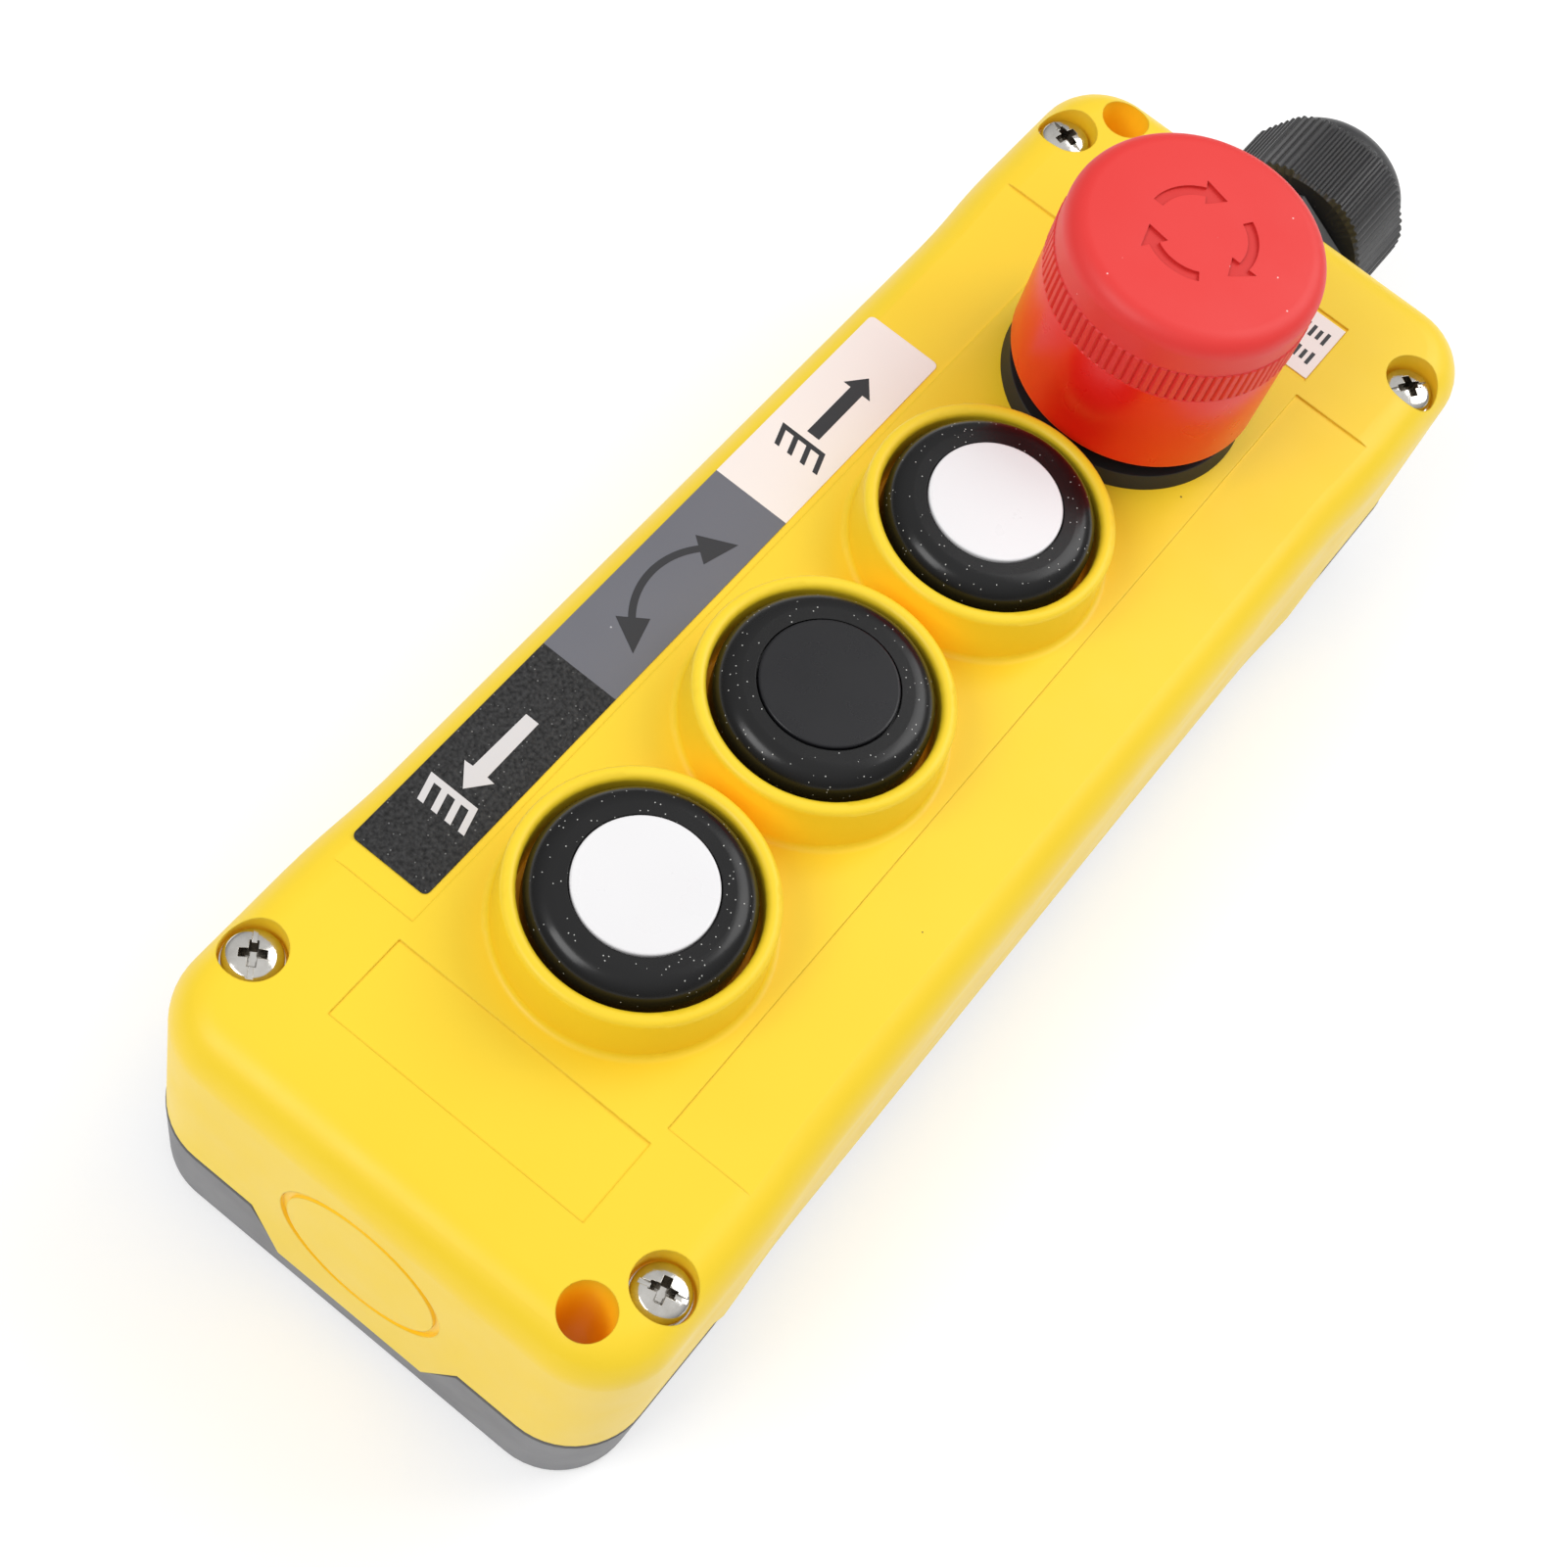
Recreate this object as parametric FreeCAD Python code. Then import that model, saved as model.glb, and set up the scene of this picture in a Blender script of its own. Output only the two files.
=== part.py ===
"""Hand-held pendant control station for a hoist, in millimetres.

Three push buttons and a latching mushroom stop button sit in one row on a yellow front housing.
A grey tray closes the back, and a cable gland leaves the far end.

Frame: origin at the centre of the flat back face, +X across the width, +Y along the length towards
the cable gland, +Z out of the front face.
"""
import FreeCAD, Part
import math
import os

Vector = FreeCAD.Vector

# ---- driving dimensions: case -------------------------------------------------------------------
case_length = 223.0          # over the two end walls
end_width = 80.6             # across the case near its two ends
waist_in = 0.9               # the grip between them is this much slimmer each side
case_depth = 53.0            # back face to front face
wall = 2.6                   # housing wall
cover_floor = 2.5            # back cover floor
corner_radius = 12.0         # upright corners, in plan
front_edge_radius = 7.0      # rounding of the front edge
back_edge_radius = 1.5       # rounding of the back edge
flare_from_end = 27.5        # the full width reaches this far from each end
flare_run = 24.0             # length of the gentle step down to the grip
housing_draft = 0.5          # the housing is this much smaller each side at its front face
cover_draft = 0.6            # the cover is this much smaller each side at its back face

# ---- driving dimensions: seam between housing and cover -----------------------------------------
seam_high = 17.0             # height of the seam at the corners
seam_low = 6.3               # height of the seam along the middle of each side
seam_from_side = 27.4        # the low stretch on an end wall starts this far from each side
seam_from_end = 33.5         # the low stretch on a long side starts this far from each end
seam_slope = 5.2             # run of the slope between low and high
gasket_thickness = 0.8
gasket_inset = 0.45          # the gasket sits this far inside the outer skin
lip_height = 3.0             # locating lip of the cover, above the seam
lip_thickness = 1.2
lip_clearance = 0.25

# ---- driving dimensions: cover screws and mounting holes ----------------------------------------
screw_from_side = 6.5        # cover screw centres, in from the case's sides and ends
screw_from_end = 16.5
screw_shank_r = 1.7
screw_head_r = 4.1
screw_head_height = 2.6
screw_slot_depth = 0.8
screw_past_insert = 2.2      # the tip goes this far beyond the insert
screw_sink = 1.6             # top of the head below the front face
screw_clearance = 0.25
washer_r = 4.3
washer_thickness = 0.6
pocket_r = 4.6
pillar_r = 5.6
insert_r = 2.7
insert_length = 8.0
thread_clearance = 0.05
mount_from_side = 11.9       # the two diagonal mounting holes
mount_from_end = 7.8
mount_front_r = 3.9          # wide bore for the fixing screw's head
mount_back_r = 2.75          # clearance bore for an M5 screw
mount_tube_wall = 2.0

# ---- driving dimensions: push buttons -----------------------------------------------------------
button_pitch = 40.0
stop_from_end = 51.0         # stop button centre; the push buttons follow at the pitch
collar_inner_r = 16.3
collar_wall = 2.15           # at its top
collar_taper = 0.4           # the collar is this much thicker at its base
collar_height = 9.8
collar_lip_radius = 1.0
collar_foot = 1.0            # radius of the fillet where the collar meets the face
cap_gap = 0.9                # between the button cap and the collar
cap_height = 11.9            # top of the cap above the front face
cap_floor_gap = 0.5          # left under the cap when it is pressed right down
cap_shoulder_radius = 3.5
cap_wall = 2.2
cap_web = 1.8                # under the centre disc
cap_ring = 5.35              # width of the ring round the disc
disc_thickness = 1.6
disc_proud = 0.4
disc_groove = 0.25
button_travel = 4.0
stem_r = 3.5
pin_step = 2.0               # the pin for the bridge is this much slimmer than the stem
pin_tip = 0.6                # and shows this much under the bridge
stem_flange_width = 3.5
stem_flange = 0.8
bush_wall = 2.45
bush_flange_width = 2.0
bush_flange = 1.2
running_clearance = 0.05
spring_gap = 1.55            # between the stem and the spring's wire
spring_wire = 0.5
spring_turns = 3.5
bellows_gap = 0.5            # between the bellows' foot and the cap
bellows_foot = 2.1           # width of the foot outside the bellows
bellows_bulge = 1.4
bellows_wall = 0.8

# ---- driving dimensions: contact blocks ---------------------------------------------------------
block_half_x = 16.0
block_half_y = 13.0
block_drop = 9.0             # top of a button's block below the front face
block_height = 18.0
block_roof = 3.0
block_slot_half = 4.0
block_screw_x = 11.0
block_screw_y = 9.0
block_screw_r = 1.45
block_screw_head_r = 2.8
block_screw_head = 2.2
block_screw_clearance = 0.15
boss_wall = 1.7
boss_cap = 1.0               # solid plastic over the end of a block screw
shelf_reach = 6.0
shelf_height = 5.0
shelf_half_y = 6.0
strip_thickness = 0.8
strip_half_y = 3.0
strip_inner_x = 5.0
slot_clearance = 0.3         # moving pieces in a block keep this far from it
bridge_half_x = 8.0
bridge_half_y = 2.5
contact_gap = 0.1            # left between the contacts when they are closed
terminal_r = 1.3
terminal_head_r = 2.4
terminal_head = 2.0

# ---- driving dimensions: stop button ------------------------------------------------------------
stop_travel = 3.7
stop_flange_r = 19.15
stop_flange_taper = 0.85
stop_flange = 2.4
stop_neck_gap = 1.94         # between the neck and the inside of the skirt
stop_neck_top = 11.0         # top of the neck above the front face
stop_recess_gap = 0.8        # between the spring recess in the neck and the shaft's collar
stop_recess_floor = 3.0      # above the front face
stop_barrel_wall = 4.95
stop_barrel_length = 13.0    # below the front face
panel_hole_clearance = 0.15
stop_nut_wall = 3.95
stop_nut_height = 5.0
stop_gasket_gap = 1.5        # between the barrel and the gasket
stop_gasket_width = 4.5
stop_gasket = 1.0
skirt_r = 19.44
skirt_wall = 2.0
skirt_floor_gap = 0.3        # left over the flange when the head is pressed down
skirt_length = 17.5
knurl_proud = 0.16           # the knurled band stands this far out of the skirt
cap_step_in = 0.2            # the smooth side above it is this much slimmer
stop_knurl_height = 5.9
stop_cap_height = 12.7
stop_cap_edge = 3.2
stop_cap_wall = 3.0
stop_boss_wall = 4.0
shaft_r = 6.0
shaft_neck_step = 0.6
shaft_tip_step = 1.45
shaft_tip_length = 7.0
shaft_collar_width = 2.8
shaft_collar = 1.5
shaft_collar_gap = 0.3       # left over the neck when the head is pressed down
shaft_pin_r = 3.0
shaft_pin_tip = 1.2          # shows this much under the bridge
stop_spring_gap = 1.15       # between the shaft and the spring's wire
stop_spring_wire = 0.9
stop_spring_turns = 5.0
turn_clearance = 0.3         # axial, between the shaft and the turning head
stop_block_half_y = 15.0
stop_block_roof = 4.0
stop_strip_drop = 5.0        # roof of the slot to the underside of the strips
stop_slot_spare = 2.4        # under the bridge when the head is pressed down
stop_block_floor = 4.0

# ---- driving dimensions: cable gland and knock-out ----------------------------------------------
gland_drop = 24.0            # the gland and knock-out axes lie this far below the front face
gland_thread_r = 11.2
gland_hole_clearance = 0.1
gland_spigot_end = 2.9       # the spigot shows this much beyond its locknut
gland_bore_r = 6.5
gland_washer = 1.0
gland_washer_width = 2.2
gland_pad_margin = 0.5       # flat seats of the washer and the locknut are this much larger
gland_hex_flats = 24.6
gland_hex_length = 9.5
gland_tail_r = 10.0
gland_tail_length = 13.0
gland_tail_wall = 1.4
gland_seal_seat = 2.0        # the sleeve's seat lies this far inside the tail
gland_finger_slot = 1.2
gland_finger_length = 6.0
gland_locknut_flats = 27.0
gland_locknut = 5.0
gland_nut_gap = 2.5          # between the hexagon and the nut
gland_nut_flats = 29.0
gland_nut_corner_cut = 1.44  # the nut's corners are turned down by this much
gland_nut_length = 15.1
gland_dome_length = 7.4
gland_dome_r = 13.4
gland_mouth_r = 7.0
gland_seal_gap = 0.2
gland_seal_wall = 2.4
gland_seal_length = 10.0
slip_ring_thickness = 0.7
slip_ring_gap = 0.3          # all round the loose ring
nut_cone = 3.0               # cone between the nut's thread and its mouth
knockout_r = 13.6
knockout_groove = 1.1
knockout_depth = 0.8

# ---- driving dimensions: labels and shallow panels ----------------------------------------------
panel_depth = 0.3
side_panel_gap = 1.45        # between a collar's foot and the side panels
side_panel_from_side = 4.0   # measured from the grip's side
side_panel_from_end = 32.8
end_panel_from_side = 19.4
end_panel_from_end = 16.1
end_panel_width = 13.7
label_thickness = 0.2
legend_inner_margin = 1.1
legend_outer_margin = 0.2
legend_past_lower = 15.3     # the strip ends this far beyond the lowest button
legend_past_raise = 22.0     # and this far beyond the highest
end_label_margin = 0.7
end_label_side_margin = 0.1

# ---- worked-out places --------------------------------------------------------------------------
face = case_depth
inner_face = case_depth - wall
end_y = case_length / 2
side_x = end_width / 2
grip_x = side_x - waist_in
flare_end = end_y - flare_from_end
flare_start = flare_end - flare_run
seam_end_half = side_x - seam_from_side
seam_side_half = end_y - seam_from_end
screw_x = side_x - screw_from_side
screw_y = end_y - screw_from_end
mount_x = side_x - mount_from_side
mount_y = end_y - mount_from_end
mount_tube_r = mount_front_r + mount_tube_wall
stop_y = end_y - stop_from_end
stations = {
    "raise": stop_y - button_pitch,
    "turn": stop_y - 2 * button_pitch,
    "lower": stop_y - 3 * button_pitch,
}
head_top = face - screw_sink
head_seat = head_top - screw_head_height
pocket_floor = head_seat - washer_thickness
screw_tip = seam_high - insert_length - screw_past_insert
collar_top_r = collar_inner_r + collar_wall
collar_base_r = collar_top_r + collar_taper
cap_r = collar_inner_r - cap_gap
cap_top = face + cap_height
cap_bottom = face + button_travel + cap_floor_gap
disc_r = cap_r - cap_ring - disc_groove
disc_top = cap_top + disc_proud
disc_seat = disc_top - disc_thickness
web_bottom = disc_seat - cap_web
stem_flange_r = stem_r + stem_flange_width
flange_bottom = web_bottom - stem_flange
stem_bore_r = stem_r + running_clearance
bush_r = stem_bore_r + bush_wall
bush_flange_r = bush_r + bush_flange_width
spring_r = stem_r + spring_gap + spring_wire / 2
bellows_foot_r = cap_r - cap_wall - bellows_gap
bellows_r = bellows_foot_r - bellows_foot
block_top = face - block_drop
block_bottom = block_top - block_height
slot_top = block_top - block_roof
bridge_rest = slot_top - block_roof
strip_top = bridge_rest - button_travel - contact_gap
boss_r = block_screw_r + boss_wall
skirt_bottom = face + stop_flange + stop_travel + skirt_floor_gap
skirt_top = skirt_bottom + skirt_length
stop_cap_bottom_r = skirt_r + knurl_proud
stop_cap_r = stop_cap_bottom_r - cap_step_in
stop_flange_top_r = stop_flange_r - stop_flange_taper
stop_neck_r = skirt_r - skirt_wall - stop_neck_gap
stop_neck_z = face + stop_neck_top
shaft_bore_r = shaft_r + running_clearance
shaft_neck_r = shaft_r - shaft_neck_step
shaft_tip_r = shaft_neck_r - shaft_tip_step
shaft_collar_r = shaft_r + shaft_collar_width
shaft_collar_z = stop_neck_z + stop_travel + shaft_collar_gap
stop_recess_r = shaft_collar_r + stop_recess_gap
stop_spring_r = shaft_r + stop_spring_gap + stop_spring_wire / 2
stop_boss_r = shaft_tip_r + running_clearance + stop_boss_wall
stop_barrel_r = shaft_bore_r + stop_barrel_wall
stop_nut_r = stop_barrel_r + thread_clearance + stop_nut_wall
stop_gasket_inner_r = stop_barrel_r + stop_gasket_gap
stop_gasket_outer_r = stop_gasket_inner_r + stop_gasket_width
shoulder = skirt_top - skirt_wall - turn_clearance
stop_block_top = face - stop_barrel_length
stop_slot_top = stop_block_top - stop_block_roof
stop_strip_bottom = stop_slot_top - stop_strip_drop
stop_bridge_bottom = stop_strip_bottom - contact_gap - strip_thickness
stop_slot_bottom = stop_bridge_bottom - stop_travel - stop_slot_spare
stop_block_bottom = stop_slot_bottom - stop_block_floor
gland_z = face - gland_drop
gland_washer_r = gland_thread_r + gland_washer_width
gland_outer = end_y + gland_washer
gland_tail_start = gland_outer + gland_hex_length
gland_tail_end = gland_tail_start + gland_tail_length
gland_tail_bore_r = gland_tail_r - gland_tail_wall
gland_seal_r = gland_tail_bore_r - gland_seal_gap
gland_locknut_end = end_y - wall - gland_locknut
gland_nut_start = gland_tail_start + gland_nut_gap
gland_nut_end = gland_nut_start + gland_nut_length
gland_nut_corner_r = gland_nut_flats / math.sqrt(3) - gland_nut_corner_cut
side_panel_inner_x = collar_base_r + collar_foot + side_panel_gap
side_panel_outer_x = grip_x - side_panel_from_side
side_panel_half_y = end_y - side_panel_from_end
end_panel_half_x = side_x - end_panel_from_side
end_panel_far_y = end_y - end_panel_from_end
end_panel_near_y = end_panel_far_y - end_panel_width


# ---- small helpers ------------------------------------------------------------------------------
def slab(x0, x1, y0, y1, z0, z1):
    """A box between two corners."""
    return Part.makeBox(x1 - x0, y1 - y0, z1 - z0, Vector(x0, y0, z0))


def rod(x, y, z0, z1, radius):
    """An upright cylinder."""
    return Part.makeCylinder(radius, z1 - z0, Vector(x, y, z0))


def bar(y0, y1, radius):
    """A cylinder on the gland axis, along Y."""
    return Part.makeCylinder(radius, y1 - y0, Vector(0, y0, gland_z), Vector(0, 1, 0))


def turned(profile, y):
    """A solid of revolution about the upright axis at (0, y); the profile is (radius, z) points."""
    points = [Vector(radius, y, z) for radius, z in profile]
    face_ = Part.Face(Part.makePolygon(points + points[:1]))
    return face_.revolve(Vector(0, y, 0), Vector(0, 0, 1), 360)


def turned_along_y(profile):
    """A solid of revolution about the gland axis; the profile is (radius, y) points."""
    points = [Vector(radius, y, gland_z) for radius, y in profile]
    face_ = Part.Face(Part.makePolygon(points + points[:1]))
    return face_.revolve(Vector(0, 0, gland_z), Vector(0, 1, 0), 360)


def rounded(solid, radius, wanted):
    """Fillet every edge for which wanted(edge) is true."""
    edges = [edge for edge in solid.Edges if wanted(edge)]
    return solid.makeFillet(radius, edges)


def rim(radius, z):
    """Pick a full circle of this radius at this height."""
    def wanted(edge):
        curve = edge.Curve
        if not isinstance(curve, Part.Circle):
            return False
        return abs(curve.Radius - radius) < 0.01 and abs(curve.Center.z - z) < 0.01
    return wanted


def hexagon(flats, y0, y1, turn=0.0):
    """A hexagonal bar on the gland axis."""
    corner = flats / math.sqrt(3)
    angles = [math.radians(60 * k + turn) for k in range(7)]
    points = [Vector(corner * math.cos(a), y0, gland_z + corner * math.sin(a)) for a in angles]
    return Part.Face(Part.makePolygon(points)).extrude(Vector(0, y1 - y0, 0))


def coil(y, z0, z1, radius, wire, turns):
    """A helical spring whose wire stays between z0 and z1."""
    height = z1 - z0 - wire
    helix = Part.makeHelix(height / turns, height, radius)
    ring = Part.Wire(Part.makeCircle(wire / 2, Vector(radius, 0, 0), Vector(0, 1, 0)))
    spring = Part.Wire(helix.Edges).makePipeShell([ring], True, True)
    spring.translate(Vector(0, y, z0 + wire / 2))
    return spring


# ---- case outline -------------------------------------------------------------------------------
def outline(grow, z):
    """The case in plan at height z, moved outwards by grow: rounded corners and a slim waist."""
    a = case_length / 2 + grow
    b = side_x + grow
    w = grip_x + grow
    r = corner_radius + grow
    middle = (flare_start + flare_end) / 2
    k = r * (1 - math.sqrt(0.5))

    def at(x, y):
        return Vector(x, y, z)

    def line(p, q):
        return Part.LineSegment(at(*p), at(*q)).toShape()

    def flare(sx, sy):
        # the gentle step between the waist and an end, on the side sx and towards the end sy
        wide = [at(sx * b, sy * flare_end), at(sx * b, sy * middle)]
        slim = [at(sx * w, sy * middle), at(sx * w, sy * flare_start)]
        curve = Part.BezierCurve()
        curve.setPoles(wide + slim)
        return curve.toShape()

    def corner(p, q, s):
        return Part.Arc(at(*p), at(*q), at(*s)).toShape()

    def side(s):
        # one long side, walked in the direction of s * Y at x = s * width
        return [
            line((s * b, -s * (a - r)), (s * b, -s * flare_end)),
            flare(s, -s),
            line((s * w, -s * flare_start), (s * w, s * flare_start)),
            flare(s, s),
            line((s * b, s * flare_end), (s * b, s * (a - r))),
            corner((s * b, s * (a - r)), (s * (b - k), s * (a - k)), (s * (b - r), s * a)),
            line((s * (b - r), s * a), (-s * (b - r), s * a)),
            corner((-s * (b - r), s * a), (-s * (b - k), s * (a - k)), (-s * b, s * (a - r))),
        ]

    return Part.Wire(side(1) + side(-1))


def block_of(grow_low, z_low, grow_high, z_high):
    """The case outline as a tapering solid between two heights."""
    return Part.makeLoft([outline(grow_low, z_low), outline(grow_high, z_high)], True, True)


def flat_edges(z):
    """Pick the edges that lie wholly at this height."""
    return lambda edge: all(abs(v.Z - z) < 1e-4 for v in edge.Vertexes) and edge.BoundBox.ZLength < 1e-3


def below_seam(raised):
    """Everything under the castellated seam, with the seam moved up by raised."""
    reach = case_length
    low = seam_low + raised
    high = seam_high + raised

    def heights(half):
        return [(-reach, -reach), (reach, -reach), (reach, high), (half + seam_slope, high),
                (half, low), (-half, low), (-half - seam_slope, high), (-reach, high), (-reach, -reach)]

    across = [Vector(x, -reach, z) for x, z in heights(seam_end_half)]
    along = [Vector(-reach, y, z) for y, z in heights(seam_side_half)]
    ends = Part.Face(Part.makePolygon(across)).extrude(Vector(0, 2 * reach, 0))
    sides = Part.Face(Part.makePolygon(along)).extrude(Vector(2 * reach, 0, 0))
    return ends.common(sides)


def at_screws(make):
    """One solid at each of the four cover screws."""
    return [make(sx * screw_x, sy * screw_y) for sx in (-1, 1) for sy in (-1, 1)]


def at_mounts(make):
    """One solid at each of the two diagonal mounting holes."""
    return [make(s * mount_x, -s * mount_y) for s in (-1, 1)]


# ---- front housing ------------------------------------------------------------------------------
def collar(y):
    """The raised ring round a push button, with a rounded lip and a hollow fillet at its foot."""
    top = face + collar_height
    foot_r = collar_base_r + collar_foot
    low = inner_face + 1
    bend = collar_foot * (1 - math.sqrt(0.5))
    start = Vector(foot_r, y, face)
    middle = Vector(collar_base_r + bend, y, face + bend)
    end = Vector(collar_base_r, y, face + collar_foot)
    points = [end, Vector(collar_top_r, y, top), Vector(collar_inner_r, y, top),
              Vector(collar_inner_r, y, low), Vector(foot_r, y, low), start]
    sides = [Part.makeLine(p, q) for p, q in zip(points, points[1:])]
    section = Part.Face(Part.Wire(sides + [Part.Arc(start, middle, end).toShape()]))
    ring = section.revolve(Vector(0, y, 0), Vector(0, 0, 1), 360)
    lip = rim(collar_inner_r, top)
    edge = rim(collar_top_r, top)
    return rounded(ring, collar_lip_radius, lambda e: lip(e) or edge(e))


def shallow_panels():
    """The four shallow rectangles in the front face that take stickers."""
    low = face - panel_depth
    panels = []
    for s in (-1, 1):
        x = sorted((s * side_panel_inner_x, s * side_panel_outer_x))
        panels.append(slab(x[0], x[1], -side_panel_half_y, side_panel_half_y, low, face + 1))
        y = sorted((s * end_panel_near_y, s * end_panel_far_y))
        panels.append(slab(-end_panel_half_x, end_panel_half_x, y[0], y[1], low, face + 1))
    return panels


def front_housing():
    """The yellow moulded housing: five walls, collars, screw pillars, tubes and bosses."""
    skin = block_of(0, seam_low, -housing_draft, face)
    skin = rounded(skin, front_edge_radius, flat_edges(face))
    hollow = block_of(-wall, seam_low - 1, -wall - housing_draft, inner_face)
    hollow = rounded(hollow, front_edge_radius - wall, flat_edges(inner_face))
    shell = skin.cut(hollow)

    inside = at_screws(lambda x, y: rod(x, y, seam_low, face, pillar_r))
    inside += at_mounts(lambda x, y: rod(x, y, seam_low, face, mount_tube_r))
    for y in stations.values():
        for s in (-1, 1):
            inside.append(rod(s * block_screw_x, y + s * block_screw_y, block_top, inner_face + 1, boss_r))
    proud = [collar(y) for y in stations.values()]
    proud.append(bar(end_y - wall, end_y, gland_washer_r + gland_pad_margin))
    shell = shell.fuse([piece.common(skin) for piece in inside] + proud)

    cuts = [below_seam(gasket_thickness)]
    cuts += at_screws(lambda x, y: rod(x, y, pocket_floor, face + 1, pocket_r))
    cuts += at_screws(lambda x, y: rod(x, y, 0, face, screw_shank_r + screw_clearance))
    cuts += at_mounts(lambda x, y: rod(x, y, 0, face + 1, mount_front_r))
    cuts += shallow_panels()
    for y in stations.values():
        cuts.append(rod(0, y, face, face + collar_height + 1, collar_inner_r))
        cuts.append(rod(0, y, inner_face - 1, face + 1, bush_r))
        for s in (-1, 1):
            pilot = block_screw_r + running_clearance
            top = inner_face - block_screw_clearance
            cuts.append(rod(s * block_screw_x, y + s * block_screw_y, block_top - 1, top, pilot))
    cuts.append(rod(0, stop_y, inner_face - 1, face + 1, stop_barrel_r + panel_hole_clearance))
    cuts.append(bar(end_y - 2 * wall, end_y + 1, gland_thread_r + gland_hole_clearance))
    spot_r = gland_locknut_flats / math.sqrt(3) + gland_pad_margin
    cuts.append(bar(gland_locknut_end, end_y - wall, spot_r))
    groove = bar(-end_y - 1, -end_y + knockout_depth, knockout_r)
    cuts.append(groove.cut(bar(-end_y - 2, -end_y + knockout_depth + 1, knockout_r - knockout_groove)))
    for cut in cuts:
        shell = shell.cut(cut)
    return shell.removeSplitter()


# ---- back cover, gasket and their fixings -------------------------------------------------------
def back_cover():
    """The grey tray: floor, castellated walls, locating lip, screw bosses and mounting bores."""
    skin = block_of(-cover_draft, 0, 0, seam_high)
    skin = rounded(skin, back_edge_radius, flat_edges(0))
    hollow = block_of(-wall - cover_draft, cover_floor, -wall, seam_high + 1)
    tray = skin.cut(hollow).common(below_seam(0))

    outer = block_of(-wall - lip_clearance, cover_floor, -wall - lip_clearance, case_depth)
    root = block_of(-wall * 0.8, cover_floor, -wall * 0.8, case_depth)
    inside = -wall - lip_clearance - lip_thickness
    inner = block_of(inside, 0, inside, case_depth + 1)
    lip = outer.common(below_seam(lip_height)).fuse(root.common(below_seam(0))).cut(inner)
    away = at_screws(lambda x, y: rod(x, y, seam_high, case_depth, pillar_r + lip_clearance))
    away += at_mounts(lambda x, y: rod(x, y, seam_high, case_depth, mount_tube_r + lip_clearance))
    for piece in away:
        lip = lip.cut(piece)

    bosses = at_screws(lambda x, y: rod(x, y, cover_floor - 1, seam_high, pillar_r))
    bosses += at_mounts(lambda x, y: rod(x, y, cover_floor - 1, seam_high, mount_tube_r))
    tray = tray.fuse([lip] + [boss.common(skin) for boss in bosses])
    for hole in at_screws(lambda x, y: rod(x, y, seam_high - insert_length, seam_high + 1, insert_r)):
        tray = tray.cut(hole)
    shank_hole = screw_shank_r + screw_clearance
    for hole in at_screws(lambda x, y: rod(x, y, screw_tip - screw_past_insert, seam_high + 1, shank_hole)):
        tray = tray.cut(hole)
    for hole in at_mounts(lambda x, y: rod(x, y, -1, seam_high + 1, mount_back_r)):
        tray = tray.cut(hole)
    return tray.removeSplitter()


def cover_gasket():
    """The soft cord of rubber that follows the seam inside the wall."""
    outer = block_of(-gasket_inset, 0, -gasket_inset, case_depth)
    inner = block_of(-wall + gasket_inset, -1, -wall + gasket_inset, case_depth + 1)
    return outer.cut(inner).common(below_seam(gasket_thickness)).cut(below_seam(0))


def cover_screw(x, y):
    """A pan-head machine screw with a cross recess and a driver slot through it."""
    head = rod(x, y, head_seat, head_top, screw_head_r)
    head = rounded(head, 1.0, rim(screw_head_r, head_top))
    arm = screw_head_r * 0.62
    half = 0.45
    deep = head_top - 1.5
    cross = slab(x - arm, x + arm, y - half, y + half, deep, head_top + 1)
    cross = cross.fuse(slab(x - half, x + half, y - arm, y + arm, deep, head_top + 1))
    cross = cross.fuse(slab(x - screw_head_r, x + screw_head_r, y - half, y + half,
                            head_top - screw_slot_depth, head_top + 1))
    shank = rod(x, y, screw_tip, head_seat, screw_shank_r)
    return head.cut(cross).fuse(shank).removeSplitter()


def screw_washer(x, y):
    ring = rod(x, y, pocket_floor, head_seat, washer_r)
    return ring.cut(rod(x, y, 0, face, screw_shank_r + screw_clearance))


def brass_insert(x, y):
    ring = rod(x, y, seam_high - insert_length, seam_high, insert_r)
    return ring.cut(rod(x, y, 0, face, screw_shank_r + thread_clearance))


# ---- labels -------------------------------------------------------------------------------------
def legend_strip():
    """One printed strip with three pictogram cells, left of the push buttons."""
    low = face - panel_depth
    outer = side_panel_outer_x - legend_outer_margin
    inner = side_panel_inner_x + legend_inner_margin
    bottom = stations["lower"] - legend_past_lower
    top = stations["raise"] + legend_past_raise
    return slab(-outer, -inner, bottom, top, low, low + label_thickness)


def end_label():
    """The plain white label in the panel behind the stop button."""
    low = face - panel_depth
    half = end_panel_half_x - end_label_side_margin
    near = end_panel_near_y + end_label_margin
    far = end_panel_far_y - end_label_margin
    return slab(-half, half, near, far, low, low + label_thickness)


# ---- push button pieces -------------------------------------------------------------------------
def button_cap(y):
    """The black cap: a ring with a rounded shoulder round the recess for the disc."""
    cap = turned([
        (0, web_bottom), (cap_r - cap_wall, web_bottom), (cap_r - cap_wall, cap_bottom), (cap_r, cap_bottom),
        (cap_r, cap_top), (disc_r + disc_groove, cap_top), (disc_r + disc_groove, disc_seat), (0, disc_seat),
    ], y)
    return rounded(cap, cap_shoulder_radius, rim(cap_r, cap_top))


def button_disc(y):
    disc = rod(0, y, disc_seat, disc_top, disc_r)
    return rounded(disc, 0.3, rim(disc_r, disc_top))


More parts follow.
